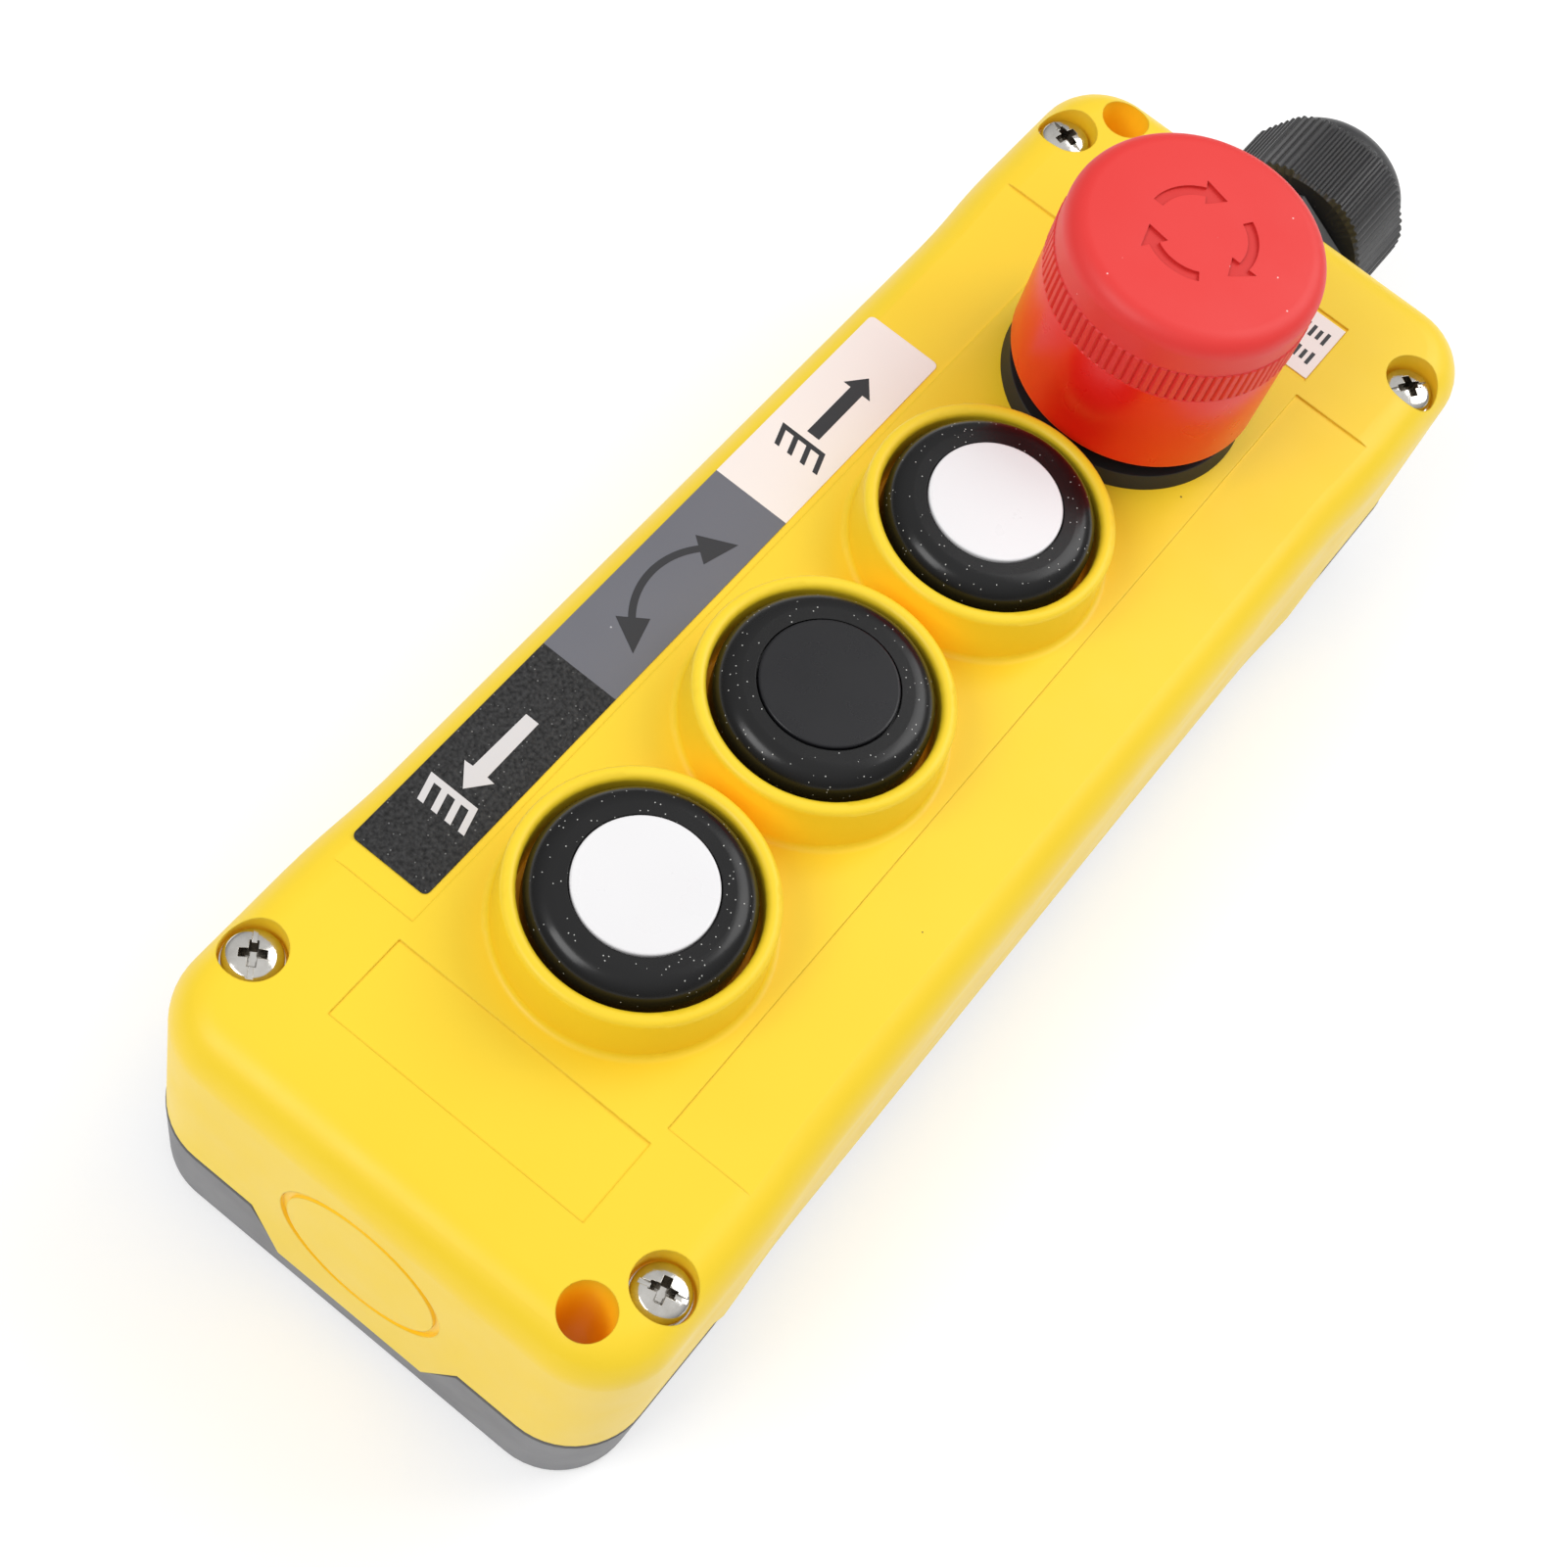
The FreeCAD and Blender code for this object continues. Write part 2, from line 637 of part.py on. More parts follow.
def button_plunger(y):
    """Flange under the cap, stem through the bush, and a pin that carries the bridge."""
    pin_r = stem_r - pin_step
    return turned([
        (0, web_bottom), (stem_flange_r, web_bottom), (stem_flange_r, flange_bottom), (stem_r, flange_bottom),
        (stem_r, bridge_rest + strip_thickness), (pin_r, bridge_rest + strip_thickness),
        (pin_r, bridge_rest - pin_tip), (0, bridge_rest - pin_tip),
    ], y)


def guide_bush(y):
    high = face + bush_flange
    return turned([
        (stem_bore_r, block_top), (bush_r, block_top), (bush_r, face),
        (bush_flange_r, face), (bush_flange_r, high), (stem_bore_r, high),
    ], y)


def button_spring(y):
    return coil(y, face + bush_flange, flange_bottom, spring_r, spring_wire, spring_turns)


def button_bellows(y):
    """The rubber bellows between the collar floor and the underside of the cap."""
    top = web_bottom
    height = top - face
    waist = face + height * 0.45
    return turned([
        (bellows_r - bellows_wall, face), (bellows_foot_r, face), (bellows_foot_r, face + bellows_wall),
        (bellows_r, face + bellows_wall), (bellows_r + bellows_bulge, waist), (bellows_r, top),
        (bellows_r - bellows_wall, top), (bellows_r + bellows_bulge - bellows_wall, waist),
        (bellows_r - bellows_wall, face + bellows_wall),
    ], y)


def contact_block(y, top, bottom, half_y, slot_low, slot_high, strip_low, stem_hole):
    """A moulded block: a slot along X for the contacts, and a shelf at each end for a terminal."""
    body = slab(-block_half_x, block_half_x, y - half_y, y + half_y, bottom, top)
    shelf_low = strip_low + strip_thickness
    for s in (-1, 1):
        x = sorted((s * (block_half_x - 0.5), s * (block_half_x + shelf_reach)))
        shelf = slab(x[0], x[1], y - shelf_half_y, y + shelf_half_y, shelf_low, shelf_low + shelf_height)
        body = body.fuse(shelf)
    slot = slab(-block_half_x, block_half_x, y - block_slot_half, y + block_slot_half, slot_low, slot_high)
    under = slab(-2 * block_half_x, 2 * block_half_x, y - block_slot_half, y + block_slot_half,
                 strip_low - 0.01, shelf_low)
    body = body.cut(slot).cut(under).cut(rod(0, y, slot_high - 1, top + 1, stem_hole))
    for s in (-1, 1):
        x = s * (block_half_x + shelf_reach / 2)
        thread = rod(x, y, shelf_low - 1, shelf_low + shelf_height - 1, terminal_r + running_clearance)
        body = body.cut(thread)
    return body


def fixed_contacts(y, strip_low):
    """The two brass strips, each from its terminal to the middle of the block."""
    strips = []
    for s in (-1, 1):
        x = sorted((s * strip_inner_x, s * (block_half_x + shelf_reach - 1)))
        strip = slab(x[0], x[1], y - strip_half_y, y + strip_half_y, strip_low, strip_low + strip_thickness)
        hole = rod(s * (block_half_x + shelf_reach / 2), y, strip_low - 1, strip_low + 2,
                   terminal_r + running_clearance)
        strips.append(strip.cut(hole))
    return Part.makeCompound(strips)


def contact_bridge(y, low, pin_r):
    high = low + strip_thickness
    bridge = slab(-bridge_half_x, bridge_half_x, y - bridge_half_y, y + bridge_half_y, low, high)
    if pin_r > bridge_half_y:
        bridge = bridge.fuse(rod(0, y, low, high, block_slot_half - slot_clearance))
    return bridge.cut(rod(0, y, low - 1, low + 2, pin_r))


def terminal_screw(x, y, strip_low):
    """A screw driven from the back, through the strip into its shelf."""
    head = rod(x, y, strip_low - terminal_head, strip_low, terminal_head_r)
    slot = slab(x - terminal_head_r, x + terminal_head_r, y - 0.3, y + 0.3,
                strip_low - terminal_head, strip_low - terminal_head + 0.8)
    return head.cut(slot).fuse(rod(x, y, strip_low, strip_low + shelf_height - 1, terminal_r))


def block_screw(x, y):
    """A screw from the back through a contact block into its boss."""
    head = rod(x, y, block_bottom - block_screw_head, block_bottom, block_screw_head_r)
    slot = slab(x - block_screw_head_r, x + block_screw_head_r, y - 0.35, y + 0.35,
                block_bottom - block_screw_head, block_bottom - block_screw_head + 0.9)
    return head.cut(slot).fuse(rod(x, y, block_bottom, inner_face - boss_cap, block_screw_r))


# ---- stop button pieces -------------------------------------------------------------------------
def stop_body():
    """The black body: tapered base flange, neck inside the skirt, and threaded barrel."""
    low = stop_block_top
    return turned([
        (shaft_bore_r, low), (stop_barrel_r, low), (stop_barrel_r, face), (stop_gasket_inner_r, face),
        (stop_gasket_inner_r, face + stop_gasket), (stop_gasket_outer_r, face + stop_gasket),
        (stop_gasket_outer_r, face), (stop_flange_r, face), (stop_flange_top_r, face + stop_flange),
        (stop_neck_r, face + stop_flange), (stop_neck_r, stop_neck_z), (stop_recess_r, stop_neck_z),
        (stop_recess_r, face + stop_recess_floor), (shaft_bore_r, face + stop_recess_floor),
    ], stop_y)


def stop_gasket_ring():
    return turned([
        (stop_gasket_inner_r, face), (stop_gasket_outer_r, face),
        (stop_gasket_outer_r, face + stop_gasket), (stop_gasket_inner_r, face + stop_gasket),
    ], stop_y)


def stop_locknut():
    """A ring nut with four spanner notches, tight under the housing wall."""
    low = inner_face - stop_nut_height
    ring = rod(0, stop_y, low, inner_face, stop_nut_r)
    ring = ring.cut(rod(0, stop_y, low - 1, inner_face + 1, stop_barrel_r + thread_clearance))
    for k in range(4):
        notch = slab(stop_nut_r - 1.5, stop_nut_r + 1, -1.5, 1.5, low - 1, inner_face + 1)
        notch.rotate(Vector(0, 0, 0), Vector(0, 0, 1), 90 * k + 45)
        notch.translate(Vector(0, stop_y, 0))
        ring = ring.cut(notch)
    return ring


def stop_skirt():
    """The glossy red skirt: a tube closed by a plate under the cap."""
    bore = shaft_neck_r + running_clearance
    under = skirt_top - skirt_wall
    inner = skirt_r - skirt_wall
    return turned([
        (bore, under), (inner, under), (inner, skirt_bottom), (skirt_r, skirt_bottom),
        (skirt_r, skirt_top), (bore, skirt_top),
    ], stop_y)


def stop_cap():
    """The matte red cap: knurled band, smooth side and rounded top edge."""
    low = skirt_top
    top = low + stop_cap_height
    band = low + stop_knurl_height
    bore = shaft_tip_r + running_clearance
    roof = top - stop_cap_wall
    inner = stop_cap_bottom_r - stop_cap_wall
    cap = turned([
        (bore, low), (stop_boss_r, low), (stop_boss_r, roof), (inner, roof), (inner, low),
        (stop_cap_bottom_r, low), (stop_cap_bottom_r, band), (stop_cap_r, band), (stop_cap_r, top),
        (0, top), (0, roof), (bore, roof),
    ], stop_y)
    return rounded(cap, stop_cap_edge, rim(stop_cap_r, top))


def stop_shaft():
    """The plunger of the stop button, with the spring collar and the contact pin."""
    low = shaft_collar_z
    high = low + shaft_collar
    pin_end = stop_bridge_bottom - shaft_pin_tip
    waist = stop_block_top + stop_travel + slot_clearance
    neck_top = skirt_top - turn_clearance
    tip = skirt_top + shaft_tip_length
    return turned([
        (0, pin_end), (shaft_pin_r, pin_end), (shaft_pin_r, waist), (shaft_r, waist), (shaft_r, low),
        (shaft_collar_r, low), (shaft_collar_r, high), (shaft_r, high), (shaft_r, shoulder),
        (shaft_neck_r, shoulder), (shaft_neck_r, neck_top), (shaft_tip_r, neck_top), (shaft_tip_r, tip),
        (0, tip),
    ], stop_y)


def stop_spring():
    low = face + stop_recess_floor
    return coil(stop_y, low, shaft_collar_z, stop_spring_r, stop_spring_wire, stop_spring_turns)


# ---- cable gland pieces -------------------------------------------------------------------------
def gland_body():
    """Spigot through the end wall, hexagon, and a slotted tail for the sealing sleeve."""
    inside = gland_locknut_end - gland_spigot_end
    tail_end = gland_tail_end
    seat = gland_tail_start + gland_seal_seat
    body = bar(inside, gland_outer, gland_thread_r)
    body = body.fuse(hexagon(gland_hex_flats, gland_outer, gland_tail_start, 30))
    body = body.fuse(bar(gland_tail_start, tail_end, gland_tail_r))
    body = body.cut(bar(inside - 1, seat + 1, gland_bore_r)).cut(bar(seat, tail_end + 1, gland_tail_bore_r))
    for k in range(3):
        half = gland_finger_slot / 2
        reach = gland_tail_r + 1
        start = tail_end - gland_finger_length
        slot = slab(-half, half, start, tail_end + 1, gland_z - reach, gland_z + reach)
        slot.rotate(Vector(0, 0, gland_z), Vector(0, 1, 0), 60 * k)
        body = body.cut(slot)
    return body.removeSplitter()


def gland_flat_washer():
    ring = bar(end_y, gland_outer, gland_washer_r)
    return ring.cut(bar(end_y - 1, gland_outer + 1, gland_thread_r))


def gland_locknut_ring():
    far = end_y - wall
    ring = hexagon(gland_locknut_flats, gland_locknut_end, far, 30)
    return ring.cut(bar(gland_locknut_end - 1, far + 1, gland_thread_r + thread_clearance))


def gland_seal():
    """The rubber sleeve that the nut squeezes on the cable."""
    low = gland_tail_start + gland_seal_seat
    high = low + gland_seal_length
    bore = gland_seal_r - gland_seal_wall
    return turned_along_y([(bore, low), (gland_seal_r, low), (gland_seal_r, high), (bore, high)])


def gland_slip_ring():
    """The loose ring between the turning nut and the sleeve, so that the sleeve isn't twisted."""
    low = gland_tail_end + slip_ring_gap
    outer = gland_tail_r - slip_ring_gap
    bore = gland_mouth_r - slip_ring_gap
    return bar(low, low + slip_ring_thickness, outer).cut(bar(low - 1, low + 2, bore))


def gland_nut():
    """The domed cap nut: a hexagon with rounded corners, a dome and a threaded bore."""
    low = gland_nut_start
    high = gland_nut_end
    outside = hexagon(gland_nut_flats, low, high, 0).common(bar(low, high, gland_nut_corner_r))
    dome = turned_along_y([(0, high - 0.5), (gland_dome_r, high - 0.5), (gland_dome_r, high),
                           (gland_dome_r, high + gland_dome_length), (0, high + gland_dome_length)])

    def far_rim(edge):
        curve = edge.Curve
        return isinstance(curve, Part.Circle) and abs(curve.Center.y - high - gland_dome_length) < 0.01

    dome = rounded(dome, gland_dome_r - gland_mouth_r - 0.2, far_rim)
    outside = outside.fuse(dome)
    bore_end = gland_tail_end + slip_ring_thickness + slip_ring_gap
    thread_r = gland_tail_r + running_clearance
    bore = turned_along_y([
        (0, low - 1), (thread_r, low - 1), (thread_r, bore_end),
        (gland_mouth_r, bore_end + nut_cone), (gland_mouth_r, high + gland_dome_length + 1),
        (0, high + gland_dome_length + 1),
    ])
    return outside.cut(bore).removeSplitter()


# ---- all nodes ----------------------------------------------------------------------------------
def build():
    nodes = {
        "front_housing": front_housing(),
        "back_cover": back_cover(),
        "cover_gasket": cover_gasket(),
        "cover_screws": Part.makeCompound(at_screws(cover_screw)),
        "screw_washers": Part.makeCompound(at_screws(screw_washer)),
        "brass_inserts": Part.makeCompound(at_screws(brass_insert)),
        "legend_strip": legend_strip(),
        "end_label": end_label(),
        "stop_body": stop_body(),
        "stop_gasket": stop_gasket_ring(),
        "stop_locknut": stop_locknut(),
        "stop_skirt": stop_skirt(),
        "stop_cap": stop_cap(),
        "stop_shaft": stop_shaft(),
        "stop_spring": stop_spring(),
        "gland_body": gland_body(),
        "gland_washer": gland_flat_washer(),
        "gland_locknut": gland_locknut_ring(),
        "gland_seal": gland_seal(),
        "gland_slip_ring": gland_slip_ring(),
        "gland_nut": gland_nut(),
    }
    terminals = []
    block_screws = []
    shelf_x = block_half_x + shelf_reach / 2
    strip_low = strip_top - strip_thickness
    for name, y in stations.items():
        block = contact_block(
            y, block_top, block_bottom, block_half_y, strip_low, slot_top, strip_low, stem_r + slot_clearance)
        for s in (-1, 1):
            place = (s * block_screw_x, y + s * block_screw_y)
            screw_hole = block_screw_r + block_screw_clearance
            block = block.cut(rod(*place, block_bottom - 1, block_top + 1, screw_hole))
            block_screws.append(block_screw(*place))
            terminals.append(terminal_screw(s * shelf_x, y, strip_low))
        nodes[name + "_button_cap"] = button_cap(y)
        nodes[name + "_button_disc"] = button_disc(y)
        nodes[name + "_button_plunger"] = button_plunger(y)
        nodes[name + "_button_spring"] = button_spring(y)
        nodes[name + "_button_bellows"] = button_bellows(y)
        nodes[name + "_guide_bush"] = guide_bush(y)
        nodes[name + "_contact_block"] = block
        nodes[name + "_fixed_contacts"] = fixed_contacts(y, strip_low)
        nodes[name + "_contact_bridge"] = contact_bridge(y, bridge_rest, stem_r - pin_step)
    nodes["stop_contact_block"] = contact_block(
        stop_y, stop_block_top, stop_block_bottom, stop_block_half_y, stop_slot_bottom,
        stop_slot_top, stop_strip_bottom, shaft_pin_r + slot_clearance)
    nodes["stop_fixed_contacts"] = fixed_contacts(stop_y, stop_strip_bottom)
    nodes["stop_contact_bridge"] = contact_bridge(
        stop_y, stop_bridge_bottom, shaft_pin_r)
    terminals += [terminal_screw(s * shelf_x, stop_y, stop_strip_bottom) for s in (-1, 1)]
    nodes["terminal_screws"] = Part.makeCompound(terminals)
    nodes["block_screws"] = Part.makeCompound(block_screws)
    return nodes


os.makedirs("parts", exist_ok=True)
for node, shape in build().items():
    shape.exportStep("parts/" + node + ".step")
    state = "valid" if shape.isValid() else "INVALID"
    print(node, len(shape.Solids), "solids", round(shape.Volume, 1), state)
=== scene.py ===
"""Looks of a hand-held pendant control station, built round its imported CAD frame.

A yellow case with three push buttons and a red stop button, lying on its back on a pale floor.
"""
import math

import bmesh
import bpy
from mathutils import Matrix, Vector


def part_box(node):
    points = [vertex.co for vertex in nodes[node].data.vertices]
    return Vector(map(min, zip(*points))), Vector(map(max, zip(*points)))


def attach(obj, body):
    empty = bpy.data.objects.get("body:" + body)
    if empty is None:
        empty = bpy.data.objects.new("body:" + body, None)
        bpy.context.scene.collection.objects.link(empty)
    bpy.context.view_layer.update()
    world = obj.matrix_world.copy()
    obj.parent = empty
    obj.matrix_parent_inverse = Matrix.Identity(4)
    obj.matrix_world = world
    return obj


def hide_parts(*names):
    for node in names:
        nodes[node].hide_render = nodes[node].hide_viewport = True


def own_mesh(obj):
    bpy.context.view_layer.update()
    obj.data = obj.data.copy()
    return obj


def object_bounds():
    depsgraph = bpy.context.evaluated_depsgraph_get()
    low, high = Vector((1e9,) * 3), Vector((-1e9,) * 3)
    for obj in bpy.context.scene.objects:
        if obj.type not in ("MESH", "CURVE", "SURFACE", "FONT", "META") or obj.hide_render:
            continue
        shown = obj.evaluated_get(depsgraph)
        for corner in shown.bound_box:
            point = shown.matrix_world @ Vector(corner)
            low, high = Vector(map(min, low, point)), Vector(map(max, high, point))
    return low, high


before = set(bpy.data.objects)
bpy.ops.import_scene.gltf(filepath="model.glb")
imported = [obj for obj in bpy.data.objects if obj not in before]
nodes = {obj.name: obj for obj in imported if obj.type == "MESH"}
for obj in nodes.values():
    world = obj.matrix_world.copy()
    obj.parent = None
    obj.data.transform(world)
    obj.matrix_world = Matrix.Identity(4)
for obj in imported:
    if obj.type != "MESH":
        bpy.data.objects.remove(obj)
cad_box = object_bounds()


# ---- front housing ------------------------------------------------------------------------------
# The one-piece front moulding with its three collars. Injection-moulded yellow ABS, satin from a
# fine spark-eroded mould, with a few dark dust specks, and a painted orange glow in its hollows.
# It is the CAD piece itself.

MM = 0.001
noise_low, noise_high = 0.3, 0.7    # nearly all of a noise pattern lies between these
handling_mm = 9.0                   # size of the patches where handling has changed the gloss
gloss_spread = 0.05                 # how much rougher or smoother those patches are


def linear(code):
    """An sRGB hex colour as linear RGBA."""
    parts = [int(code[i:i + 2], 16) / 255 for i in (0, 2, 4)]
    return tuple(p / 12.92 if p <= 0.04045 else ((p + 0.055) / 1.055) ** 2.4 for p in parts) + (1.0,)


def add(tree, kind, inputs=None, **settings):
    """Adds one shader node: settings are its properties, inputs its values or (node, output) links."""
    made = tree.nodes.new("ShaderNode" + kind)
    for name, value in settings.items():
        setattr(made, name, value)
    for socket, value in (inputs or {}).items():
        if isinstance(value, tuple) and isinstance(value[0], bpy.types.Node):
            tree.links.new(value[0].outputs[value[1]], made.inputs[socket])
        else:
            made.inputs[socket].default_value = value
    return made


def empty_material(name):
    """A named material with a surface output, and its Object coordinates."""
    material = bpy.data.materials.new(name)
    material.use_nodes = True
    tree = material.node_tree
    tree.nodes.clear()
    place = add(tree, "TexCoord")
    surface = add(tree, "BsdfPrincipled")
    add(tree, "OutputMaterial", {"Surface": (surface, "BSDF")})
    return material, tree, place, surface


def dust(tree, place, cell_mm, radius, share):
    """1 inside small round specks, one in some of the cells of this size, and 0 elsewhere."""
    cells = add(tree, "TexVoronoi", {"Vector": (place, "Object"), "Scale": 1 / (cell_mm * MM)})
    near = add(tree, "Math", {0: (cells, "Distance"), 1: radius}, operation="LESS_THAN")
    channels = add(tree, "SeparateColor", {"Color": (cells, "Color")})
    picked = add(tree, "Math", {0: (channels, "Red"), 1: share}, operation="LESS_THAN")
    return add(tree, "Math", {0: (near, 0), 1: (picked, 0)}, operation="MULTIPLY")


def moulded(name, colour, shade, rough, grain_mm, grain_height, edge_mm, speck=None, speck_share=0.0,
            speck_cell=1.6, speck_radius=0.07, shine=0.5, blotch_mm=45.0):
    """A moulded plastic or rubber: two tones that drift, a fine grain, uneven gloss and specks."""
    material, tree, place, surface = empty_material(name)
    slow = add(tree, "TexNoise",
               {"Vector": (place, "Object"), "Scale": 1 / (blotch_mm * MM), "Detail": 3.0})
    fine = add(tree, "TexNoise",
               {"Vector": (place, "Object"), "Scale": 1 / (grain_mm * MM), "Detail": 2.0})
    drift = add(tree, "MapRange", {0: (slow, 0), 1: noise_low, 2: noise_high, 3: 0.0, 4: 1.0})
    tone = add(tree, "Mix", {0: (drift, 0), 6: linear(colour), 7: linear(shade)}, data_type="RGBA")
    if speck:
        spots = dust(tree, place, speck_cell, speck_radius, speck_share)
        tone = add(tree, "Mix", {0: (spots, 0), 6: (tone, 2), 7: linear(speck)}, data_type="RGBA")
    tree.links.new(tone.outputs[2], surface.inputs["Base Color"])
    handled = add(tree, "TexNoise",
                  {"Vector": (place, "Object"), "Scale": 1 / (handling_mm * MM), "Detail": 6.0})
    gloss = add(tree, "MapRange", {0: (handled, 0), 1: noise_low, 2: noise_high,
                                   3: rough - gloss_spread, 4: rough + gloss_spread})
    tree.links.new(gloss.outputs[0], surface.inputs["Roughness"])
    softened = add(tree, "Bevel", {"Radius": edge_mm * MM}, samples=4)
    relief = add(tree, "Bump", {"Strength": 1.0, "Distance": grain_height * MM, "Height": (fine, 0),
                                "Normal": (softened, 0)})
    tree.links.new(relief.outputs[0], surface.inputs["Normal"])
    surface.inputs["IOR"].default_value = 1.5
    surface.inputs["Specular IOR Level"].default_value = shine
    return material


def paint(node, material):
    """Gives a CAD piece its material."""
    mesh = nodes[node].data
    mesh.materials.clear()
    mesh.materials.append(material)


yellow_abs = moulded("yellow satin ABS", "F9D72E", "F7D228", rough=0.4, grain_mm=0.5, grain_height=0.006,
                     edge_mm=0.35, speck="7A5A18", speck_share=0.03, speck_cell=6.0,
                     speck_radius=0.028, shine=0.4)
# painted glow: an orange emission, strongest where the moulding hides its own surface, lights the pockets,
# bores and collars in place of light coming through the thin walls
painted_glow_reach = 8 * MM
yellow_tree = yellow_abs.node_tree
yellow_surface = yellow_tree.nodes["Principled BSDF"]
depth = add(yellow_tree, "AmbientOcclusion", {"Distance": painted_glow_reach}, samples=4, only_local=True)
painted_glow_share = add(yellow_tree, "MapRange", {0: (depth, "AO"), 1: 0.2, 2: 0.8, 3: 1.0, 4: 0.0})
painted_glow_colour = add(yellow_tree, "Mix",
            {0: (painted_glow_share, 0), 6: linear("000000"), 7: linear("F08A08")}, data_type="RGBA")
yellow_tree.links.new(painted_glow_colour.outputs[2], yellow_surface.inputs["Emission Color"])
# strength of the painted orange glow
yellow_surface.inputs["Emission Strength"].default_value = 0.16
paint("front_housing", yellow_abs)


# ---- back cover ---------------------------------------------------------------------------------
# The shallow tray that closes the back. Mid-grey ABS with a coarser mould grain, so it looks
# duller than the front and slightly mottled.

grey_abs = moulded("grey grained ABS", "818184", "737376", rough=0.55, grain_mm=0.7, grain_height=0.02,
                   edge_mm=0.3, speck="B9B9B6", speck_share=0.03, speck_cell=4.0, speck_radius=0.03,
                   blotch_mm=12.0)
paint("back_cover", grey_abs)


# ---- seam gasket and the other rubber pieces ----------------------------------------------------
# A round-edged strip of EPDM along the seam, the ring under the stop button, and the gland's
# sleeve. Rubber is dull and almost black, with a dusty bloom.

rubber = moulded("black EPDM rubber", "141414", "1D1D1C", rough=0.75, grain_mm=0.4, grain_height=0.01,
                 edge_mm=0.15, speck="5A5955", speck_share=0.05, speck_cell=2.0, blotch_mm=8.0)
for node in ("cover_gasket", "stop_gasket", "gland_seal"):
    paint(node, rubber)


# ---- cover screws, washers and inserts ----------------------------------------------------------
# Pan-head cross-recess machine screws with flat washers, in zinc-plated steel: bright, with the
# fine marks of the header die. The inserts that they turn into are turned brass.

tarnish_mm = 2.5    # size of the duller patches on bare or plated metal


def turned_metal(name, colour, shade, rough, ring_mm):
    """Bright metal whose gloss breaks up in fine tool and handling marks."""
    material, tree, place, surface = empty_material(name)
    slow = add(tree, "TexNoise",
               {"Vector": (place, "Object"), "Scale": 1 / (tarnish_mm * MM), "Detail": 4.0})
    tone = add(tree, "Mix", {0: (slow, 0), 6: linear(colour), 7: linear(shade)}, data_type="RGBA")
    tree.links.new(tone.outputs[2], surface.inputs["Base Color"])
    fine = add(tree, "TexNoise",
               {"Vector": (place, "Object"), "Scale": 1 / (ring_mm * MM), "Detail": 5.0})
    gloss = add(tree, "MapRange", {0: (fine, 0), 1: noise_low, 2: noise_high,
                                   3: rough * 0.6, 4: rough * 1.5})
    tree.links.new(gloss.outputs[0], surface.inputs["Roughness"])
    softened = add(tree, "Bevel", {"Radius": 0.12 * MM}, samples=4)
    relief = add(tree, "Bump", {"Strength": 1.0, "Distance": 0.01 * MM, "Height": (fine, 0),
                                "Normal": (softened, 0)})
    tree.links.new(relief.outputs[0], surface.inputs["Normal"])
    surface.inputs["Metallic"].default_value = 1.0
    return material


zinc_steel = turned_metal("zinc-plated steel", "E4E2DE", "BAB6AE", rough=0.13, ring_mm=0.35)
brass = turned_metal("turned brass", "D9B566", "B08A3E", rough=0.28, ring_mm=0.3)
spring_steel = turned_metal("drawn spring steel", "A9A9A6", "7F7F7C", rough=0.3, ring_mm=0.2)
for node in ("screw_washers", "block_screws", "terminal_screws"):
    paint(node, zinc_steel)
paint("brass_inserts", brass)


def ring_of(bm, radius, centre, z, steps):
    """A closed ring of edges round an upright axis."""
    made = bmesh.ops.create_circle(bm, segments=steps, radius=radius,
                                   matrix=Matrix.Translation((centre[0], centre[1], z)))
    return list({edge for vert in made["verts"] for edge in vert.link_edges})


def grow(bm, edges, centre, change, rise):
    """Extrudes a ring of edges, scaled about its axis by change and raised by rise."""
    made = bmesh.ops.extrude_edge_only(bm, edges=edges)["geom"]
    verts = [item for item in made if isinstance(item, bmesh.types.BMVert)]
    bmesh.ops.translate(bm, verts=verts, vec=(0, 0, rise))
    bmesh.ops.scale(bm, verts=verts, vec=(change, change, 1),
                    space=Matrix.Translation((-centre[0], -centre[1], 0)))
    return [item for item in made if isinstance(item, bmesh.types.BMEdge)]


def stack(bm, centre, profile, steps):
    """Rings up or down a profile of (radius, z) points; returns the first and last ring."""
    first = ring_of(bm, profile[0][0], centre, profile[0][1], steps)
    last = first
    for (r0, z0), (r1, z1) in zip(profile, profile[1:]):
        last = grow(bm, last, centre, r1 / r0, z1 - z0)
    return first, last


def arc(radius_at, z_at, radius, start, end, steps):
    """Points of a rounded edge in a profile, from one angle to another, in degrees."""
    turns = [math.radians(start + (end - start) * k / steps) for k in range(steps + 1)]
    return [(radius_at + radius * math.cos(a), z_at + radius * math.sin(a)) for a in turns]


scene = bpy.context.scene


def piece(name, bm, material, body, stands_for=(), sharp=32):
    """Makes the finished mesh an object that rides on a body."""
    bmesh.ops.remove_doubles(bm, verts=bm.verts, dist=1e-7)
    bmesh.ops.recalc_face_normals(bm, faces=bm.faces)
    mesh = bpy.data.meshes.new(name)
    bm.to_mesh(mesh)
    bm.free()
    mesh.shade_smooth()
    mesh.set_sharp_from_angle(angle=math.radians(sharp))
    mesh.materials.append(material)
    made = bpy.data.objects.new(name, mesh)
    scene.collection.objects.link(made)
    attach(made, body)
    if stands_for:
        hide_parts(*stands_for)
    return made


